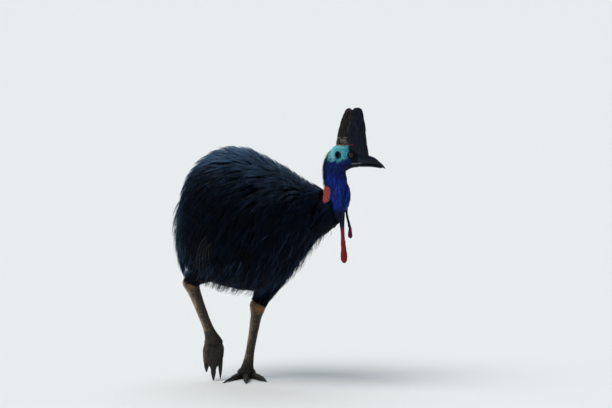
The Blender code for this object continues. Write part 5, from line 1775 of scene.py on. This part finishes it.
@dataclass
class Foot:
    """One leg below the feathers: ankle, scaled shank, ball, three toes and their claws."""

    side: Side
    ankle: tuple[float, float, float]
    ball_place: tuple[float, float, float]
    hanging: bool
    heading: float = -60.0
    ball_half: tuple[float, float, float] = (0.028, 0.044, 0.030)
    shank: tuple[tuple[float, float, float], ...] = (
        (-0.070, 0.0200, 0.0190), (-0.040, 0.0300, 0.0290), (0.005, 0.0370, 0.0340), (0.045, 0.0375, 0.0345),
        (0.100, 0.0335, 0.0310), (0.200, 0.0255, 0.0250), (0.450, 0.0215, 0.0220), (0.700, 0.0205, 0.0200),
        (0.850, 0.0245, 0.0200), (0.930, 0.0310, 0.0205), (0.985, 0.0360, 0.0210),
    )
    toes: tuple[tuple[str, float, float, int, float], ...] = (
        ("inner", 0.078, 0.100, -1, 26.0),
        ("middle", 0.138, 0.046, 0, 0.0),
        ("outer", 0.104, 0.040, 1, 28.0),
    )
    toe_offset: float = 0.031
    toe_half: tuple[float, float] = (0.0155, 0.0150)
    toe_taper: float = 0.30
    claw_half: tuple[float, float] = (0.0080, 0.0022)
    hanging_steepness: tuple[float, float, float] = (68.0, 84.0, 90.0)
    hanging_spread: float = 0.15
    hanging_swell: float = 0.13
    hanging_toe: tuple[float, float] = (1.30, 1.55)
    web_half: tuple[float, float, float] = (0.044, 0.014, 0.078)
    web_share: float = 0.34
    # strength of the painted light strip down the shank's side
    strip: float = 0.60
    # strength of the painted shade streak down the shank
    shade_and_low_dark: float = 0.75

    def directions(self) -> tuple[Array, Array]:
        """Forward and left of the foot, level."""
        turn = math.radians(self.heading)
        return np.array([math.cos(turn), math.sin(turn), 0.0]), np.array(
            [-math.sin(turn), math.cos(turn), 0.0]
        )

    def scales(self, around: Array, along: Array) -> tuple[Array, Array]:
        """Relief and seams of the shank's skin.

        In front, broad plates lie like tiles: their height falls along each plate and drops at its end. Round
        the
        sides and back, small scales are the sum of three waves at 60 degrees to each other.

        Args:
            around: the turn round the shank, 0 in front.
            along: metres from the ankle.

        Returns:
            How far the skin stands out, and how deep in a seam each point lies.
        """
        front = ease(1.05, 0.75, np.abs(around))
        tile = (along / 0.0135 + 0.06 * np.cos(around * 2)) % 1.0
        plate = 0.0013 * (1 - tile) * ease(0.0, 0.10, tile) - 0.0006 * hump(np.minimum(tile, 1 - tile), 0.06)
        u, v = around * 0.020 / 0.0052, along / 0.0052
        waves = np.cos(2 * math.pi * u)
        waves = (
            waves + np.cos(2 * math.pi * (0.5 * u + 0.866 * v)) + np.cos(2 * math.pi * (0.5 * u - 0.866 * v))
        )
        small = 0.0004 * (waves - 0.5)
        seam = front * hump(np.minimum(tile, 1 - tile), 0.07) + (1 - front) * ease(-0.7, -1.3, waves) * 0.8
        return front * plate + (1 - front) * small, seam

    def build_shank(self, finish: bpy.types.Material) -> None:
        """The ankle and shank, pushed out along its normals by its scales."""
        read = evenly(np.array(self.shank), 420)
        start, end = np.array(self.ankle), np.array(self.ball_place)
        along = unit(end - start)
        ahead, left = self.directions()
        side = unit(left - along * (left @ along))
        front = np.cross(side, along)
        front = front * np.sign(front @ ahead)
        swell = 1 + (self.hanging_swell if self.hanging else 0.0) * ease(0.05, 0.20, read[:, :1])
        read[:, 1:] *= swell
        sides = 56
        rings = loft(start + (end - start) * read[:, :1], front * read[:, 2:3], side * read[:, 1:2], sides)
        turn = np.arange(sides) * 2 * math.pi / sides
        around = np.where(turn > math.pi, turn - 2 * math.pi, turn)[None, :]
        metres = read[:, :1] * np.linalg.norm(end - start)
        lift, seam = self.scales(around, metres)
        knuckle = hump(read[:, :1] - 0.02, 0.07)
        lift = lift * (1 - 0.5 * knuckle) + 0.0016 * knuckle * creases(rings, 0.010, 61)
        lift = lift + 0.0010 * grain(rings, 0.030, 62)
        fade = ease(0.0, 8.0, np.arange(len(rings), dtype=float))[:, None]
        piece = tube(f"shank_skin_{self.side.word}", rings + normals_of(rings) * (lift * fade)[..., None])
        ends = np.zeros(2)
        # painted shade: a dark streak down the shank just off its front; the shank also darkens towards the foot
        shade_and_low_dark = hump(around - 0.45 + 0.25 * grain(rings, 0.030, 68), 0.55) * ease(0.10, 0.20, read[:, :1])
        shade_and_low_dark = np.maximum(
            self.shade_and_low_dark * shade_and_low_dark, 0.92 * ease(0.66, 0.93, read[:, :1] + 0.05 * grain(rings, 0.020, 70))
        )
        # the seam mask carries the joints and the painted shade
        mark(piece, "seam", np.concatenate([np.maximum(0.70 * seam, shade_and_low_dark).ravel(), ends]))
        blotch = grain(rings, 0.022, 67)
        behind = ease(1.9, 2.7, np.abs(around)) * ease(0.05, 0.25, read[:, :1])
        knob = hump(read[:, :1] - 0.060, 0.055) * ease(-0.8, -0.1, around + 0.3 * blotch)
        mark(piece, "warmth", np.concatenate([np.clip(0.25 * behind + 0.90 * knob, 0, 1).ravel(), ends]))
        # painted light: a pale strip down one side of the shank
        strip = (
            ease(-0.45, -1.05, around + 0.45 * blotch) * ease(-3.0, -2.4, around)
            * ease(1.0, 0.80, read[:, :1])
        )
        mark(piece, "strip", np.concatenate([(self.strip * strip).ravel(), ends]))
        place(piece, finish, Slot.LEG_SKIN, f"shank_{self.side.word}")

    def toe_path(self, label: str, shares: Array) -> tuple[Array, Array, Array, Array]:
        """The middle line of a toe and its claw, with the directions along, across and above it.

        The heading is swung sideways by the toe's spread, and on the lifted foot it is tilted down by a
        steepness
        that grows along the toe. The line is the running sum of that heading.
        """
        _, length, _, place_across, spread = next(row for row in self.toes if row[0] == label)
        mirror = self.side.value
        ahead, left = self.directions()
        sway = math.radians(spread * (self.hanging_spread if self.hanging else 1.0)) * place_across * mirror
        heading = ahead * math.cos(sway) + left * math.sin(sway)
        across = np.cross(UP, heading)
        steepness = self.hanging_steepness if self.hanging else (0.0, 0.0, 0.0)

        def tilt(at: Array) -> tuple[Array, Array]:
            """Directions along and above at shares of the toe."""
            steep = np.radians(np.interp(at, (0, 1, 1.33), steepness))[:, None]
            return heading * np.cos(steep) - UP * np.sin(steep), heading * np.sin(steep) + UP * np.cos(steep)

        fine = np.linspace(0, shares[-1], 200)
        walked = tilt(fine)[0]
        line = (
            np.concatenate([np.zeros((1, 3)), np.cumsum((walked[1:] + walked[:-1]) / 2, 0)]) * length
            * fine[1]
        )
        start = np.array(self.ball_place) + left * place_across * mirror * self.toe_offset
        centre = start + np.stack([np.interp(shares, fine, line[:, axis]) for axis in range(3)], -1)
        along, above = tilt(shares)
        return centre, along, np.tile(across, (len(shares), 1)), above

    def toe(self, label: str) -> bpy.types.Object:
        """One toe: plates on top like tiles, and pads below that swell between the joints."""
        shares = np.linspace(0.0, 1.0, 130)
        centre, _, across, above = self.toe_path(label, shares)
        shrink = 1 - self.toe_taper * shares[:, None] ** 1.5
        shrink = shrink * np.sqrt(1 - 0.62 * np.clip((shares[:, None] - 0.86) / 0.14, 0, 1) ** 2)
        grown = ease(0.0, 0.45, shares[:, None])
        fat = 0.72 + (self.hanging_toe[0] - 0.72) * grown if self.hanging else 1.0
        wide, high = self.toe_half[0] * shrink * fat, self.toe_half[1] * shrink
        length = next(row[1] for row in self.toes if row[0] == label)
        if not self.hanging:
            centre[:, 2:] = self.toe_half[1] * (1 - self.toe_taper * shares[:, None] ** 1.5) * 0.92
        sides = 48
        rings = loft(centre, above * high, across * wide, sides, 2.3)
        turn = np.arange(sides) * 2 * math.pi / sides
        metres = shares[:, None] * length
        tile = (metres / 0.0085) % 1.0
        top = ease(0.35, 0.75, np.cos(turn))[None, :]
        below = ease(0.0, -0.7, np.cos(turn))[None, :]
        pads = 0.0022 * (np.abs(np.sin(math.pi * metres / 0.030)) - 0.5)
        lift = (
            top
            * (0.0010 * (1 - tile) * ease(0.0, 0.12, tile) - 0.0004 * hump(np.minimum(tile, 1 - tile), 0.08))
        )
        lift = lift + below * pads + 0.0006 * grain(rings, 0.009, 63)
        return tube("toe", rings + normals_of(rings) * lift[..., None])

    def build_claw(self, label: str, finish: bpy.types.Material) -> None:
        """One claw: a cone with a keel that curves down, longest on the inner toe."""
        _, length, claw, _, _ = next(row for row in self.toes if row[0] == label)
        share = np.linspace(0, 1, 60)
        grown = share * 1.08 - 0.08
        centre, _, across, above = self.toe_path(label, 1 + np.maximum(grown, -0.06) * claw / length)
        blunt = 1.9 if self.hanging else 1.35
        size = (self.claw_half[0] - (self.claw_half[0] - self.claw_half[1] * 0.35) * share**blunt)[:, None]
        if not self.hanging:
            centre[:, 2:] = size * 1.22 + 0.0016 * np.sin(math.pi * share)[:, None]
        fat = self.hanging_toe[1] if self.hanging else 1.0
        rings = loft(centre, above * size * 1.22, across * size * fat, 32, 2.0)
        piece = tube(f"claw_horn_{label}_{self.side.word}", rings)
        points = points_of(piece)
        points[:, 2] = np.maximum(points[:, 2], 0.0002)
        piece.data.vertices.foreach_set("co", points.astype(np.float32).ravel())
        mark(piece, "edge", 0 * points[:, 0])
        place(piece, finish, Slot.CLAW, f"claw_{label}_{self.side.word}")

    def build_foot(self, finish: bpy.types.Material) -> None:
        """The ball with its three toes as one skin, pressed flat where it meets the floor."""
        ahead, left = self.directions()
        axes = np.stack([left * self.ball_half[1], ahead * self.ball_half[0], UP * self.ball_half[2]])
        foot = ball(f"foot_skin_{self.side.word}", np.array(self.ball_place), axes, rings=48, sides=72)
        pieces = [self.toe(row[0]) for row in self.toes]
        if self.hanging:
            centre, along, across, above = self.toe_path("middle", np.array([0.0, self.web_share]))
            half = np.array(self.web_half)[:, None] * np.stack([across[1], above[1], along[1]])
            pieces.append(ball("web", centre[1], half, rings=40, sides=56))
        fuse(foot, pieces)
        points = points_of(foot)
        points[:, 2] = np.maximum(points[:, 2], 0.0002)
        foot.data.vertices.foreach_set("co", points.astype(np.float32).ravel())
        mark(foot, "seam", 0.5 * ease(0.15, 0.5, grain(points, 0.005, 65)))
        mark(foot, "warmth", 0.01 + 0.01 * grain(points, 0.02, 66))
        # painted light: a faint pale strip down one side of the lifted foot
        aside = (points - np.array(self.ball_place)) @ left * -1
        mark(
            foot, "strip", 0.16 * ease(0.020, 0.040, aside + 0.006 * grain(points, 0.015, 69)) * self.hanging
        )
        place(foot, finish, Slot.FOOT_SKIN, *[f"toe_{row[0]}_{self.side.word}" for row in self.toes])

    def build(self, leg: bpy.types.Material, sole: bpy.types.Material, horn: bpy.types.Material) -> None:
        """The whole leg below the feathers."""
        self.build_shank(leg)
        self.build_foot(sole)
        for row in self.toes:
            self.build_claw(row[0], horn)


@dataclass
class Legs:
    """The standing left leg and the lifted right one."""

    left_ball: tuple[float, float, float] = (-0.188, 0.050, 0.0275)
    right_plan: tuple[float, float] = (-0.302, -0.062)

    def lifted_height(self) -> float:
        """The height of the lifted foot's ball, so that its middle claw just rests on the floor."""
        lowest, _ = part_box("claw_middle_right")
        trial = Foot(Side.RIGHT, RIGHT_THIGH.ankle, (*self.right_plan, 0.0), True)
        _, length, claw, _, _ = trial.toes[1]
        end = trial.toe_path("middle", np.array([0.0, 1 + claw / length]))[0][-1, 2]
        return lowest.z - end

    def build(self) -> None:
        """Both legs with shared finishes."""
        leg = ScaleFinish("leg_scales").material()
        sole = ScaleFinish(
            "foot_scales", (0.0070, 0.0063, 0.0056), (0.0210, 0.0180, 0.0150), (0.0036, 0.0034, 0.0032),
        ).material()
        horn = HornFinish(
            "claw_horn", dark=(0.012, 0.012, 0.012), worn=(0.06, 0.055, 0.05), gloss=0.30
        ).material()
        Foot(Side.LEFT, LEFT_THIGH.ankle, self.left_ball, False).build(leg, sole, horn)
        ball_place = (*self.right_plan, self.lifted_height())
        # the lifted leg's painted light strip is stronger
        Foot(Side.RIGHT, RIGHT_THIGH.ankle, ball_place, True, strip=0.85).build(leg, sole, horn)


@dataclass
class Studio:
    """Pale floor, soft lights and the camera at the photograph's angle."""

    floor_size: float = 900.0
    target: tuple[float, float, float] = (0.0824, 0.1457, 0.8351)
    azimuth: float = 30.0
    elevation: float = 5.0
    distance: float = 14.0
    lens: float = 175.2

    def floor(self) -> None:
        """A large level floor, wavy by nothing, on a grid of a few cells."""
        spot = np.linspace(-self.floor_size / 2, self.floor_size / 2, 9)
        x, y = np.meshgrid(spot, spot, indexing="ij")
        points = np.stack([x, y, 0 * x], -1).reshape(-1, 3)
        row, column = np.meshgrid(np.arange(8), np.arange(8), indexing="ij")
        here = (row * 9 + column).ravel()
        faces = np.concatenate([
            np.stack([here, here + 9, here + 10], -1), np.stack([here, here + 10, here + 1], -1),
        ])
        made = add_mesh("studio_floor", points, faces)
        made.data.materials.append(StudioFinish().material())

    def light(self, name: str, source: Colour, softness: float, power: float, tone: Colour) -> None:
        """A distant light from a direction, as wide as softness says in degrees."""
        lamp = bpy.data.lights.new(name, "SUN")
        lamp.angle = math.radians(softness)
        lamp.energy = power
        lamp.color = tone
        made = bpy.data.objects.new(name, lamp)
        made.rotation_euler = (-Vector(source)).to_track_quat("-Z", "Y").to_euler()
        bpy.context.scene.collection.objects.link(made)

    def world(self) -> None:
        """An even pale light from all round."""
        world = bpy.data.worlds.new("studio")
        world.use_nodes = True
        ground = world.node_tree.nodes["Background"]
        ground.inputs["Color"].default_value = (0.84, 0.92, 1.0, 1.0)
        ground.inputs["Strength"].default_value = 0.16
        bpy.context.scene.world = world
        bpy.context.scene.view_settings.view_transform = "Standard"

    def camera(self) -> None:
        """A long lens at the photograph's angle, aimed so that the bird stands where it does in the
        photograph.
        """
        turn, rise = math.radians(self.azimuth), math.radians(self.elevation)
        away = np.array([math.sin(turn) * math.cos(rise), -math.cos(turn) * math.cos(rise), math.sin(rise)])
        data = bpy.data.cameras.new("camera")
        data.lens = self.lens
        data.sensor_width = 36.0
        data.clip_end = 200.0
        made = bpy.data.objects.new("camera", data)
        made.location = np.array(self.target) + away * self.distance
        made.rotation_euler = Vector(-away).to_track_quat("-Z", "Y").to_euler()
        bpy.context.scene.collection.objects.link(made)
        bpy.context.scene.camera = made

    def build(self) -> None:
        """The whole studio."""
        self.floor()
        self.world()
        self.light("key", (-0.30, -0.46, 0.88), 40.0, 2.10, (1.0, 0.99, 0.97))
        self.light("rim", (-0.32, 0.42, 0.87), 55.0, 1.20, (0.84, 0.93, 1.0))
        self.light("fill", (-0.84, -0.46, 0.30), 60.0, 0.60, (0.82, 0.92, 1.0))
        self.camera()


def main() -> None:
    """Builds the bird and the studio."""
    logging.basicConfig(level=logging.INFO, format="%(name)s: %(message)s")
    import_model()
    Studio().build()
    skin = Skin()
    skin.build()
    Plumage().build(skin)
    Casque().build()
    Bill().build()
    Eyes().build()
    Wattles().build()
    Quills().build()
    Legs().build()


if __name__ == "__main__":
    main()
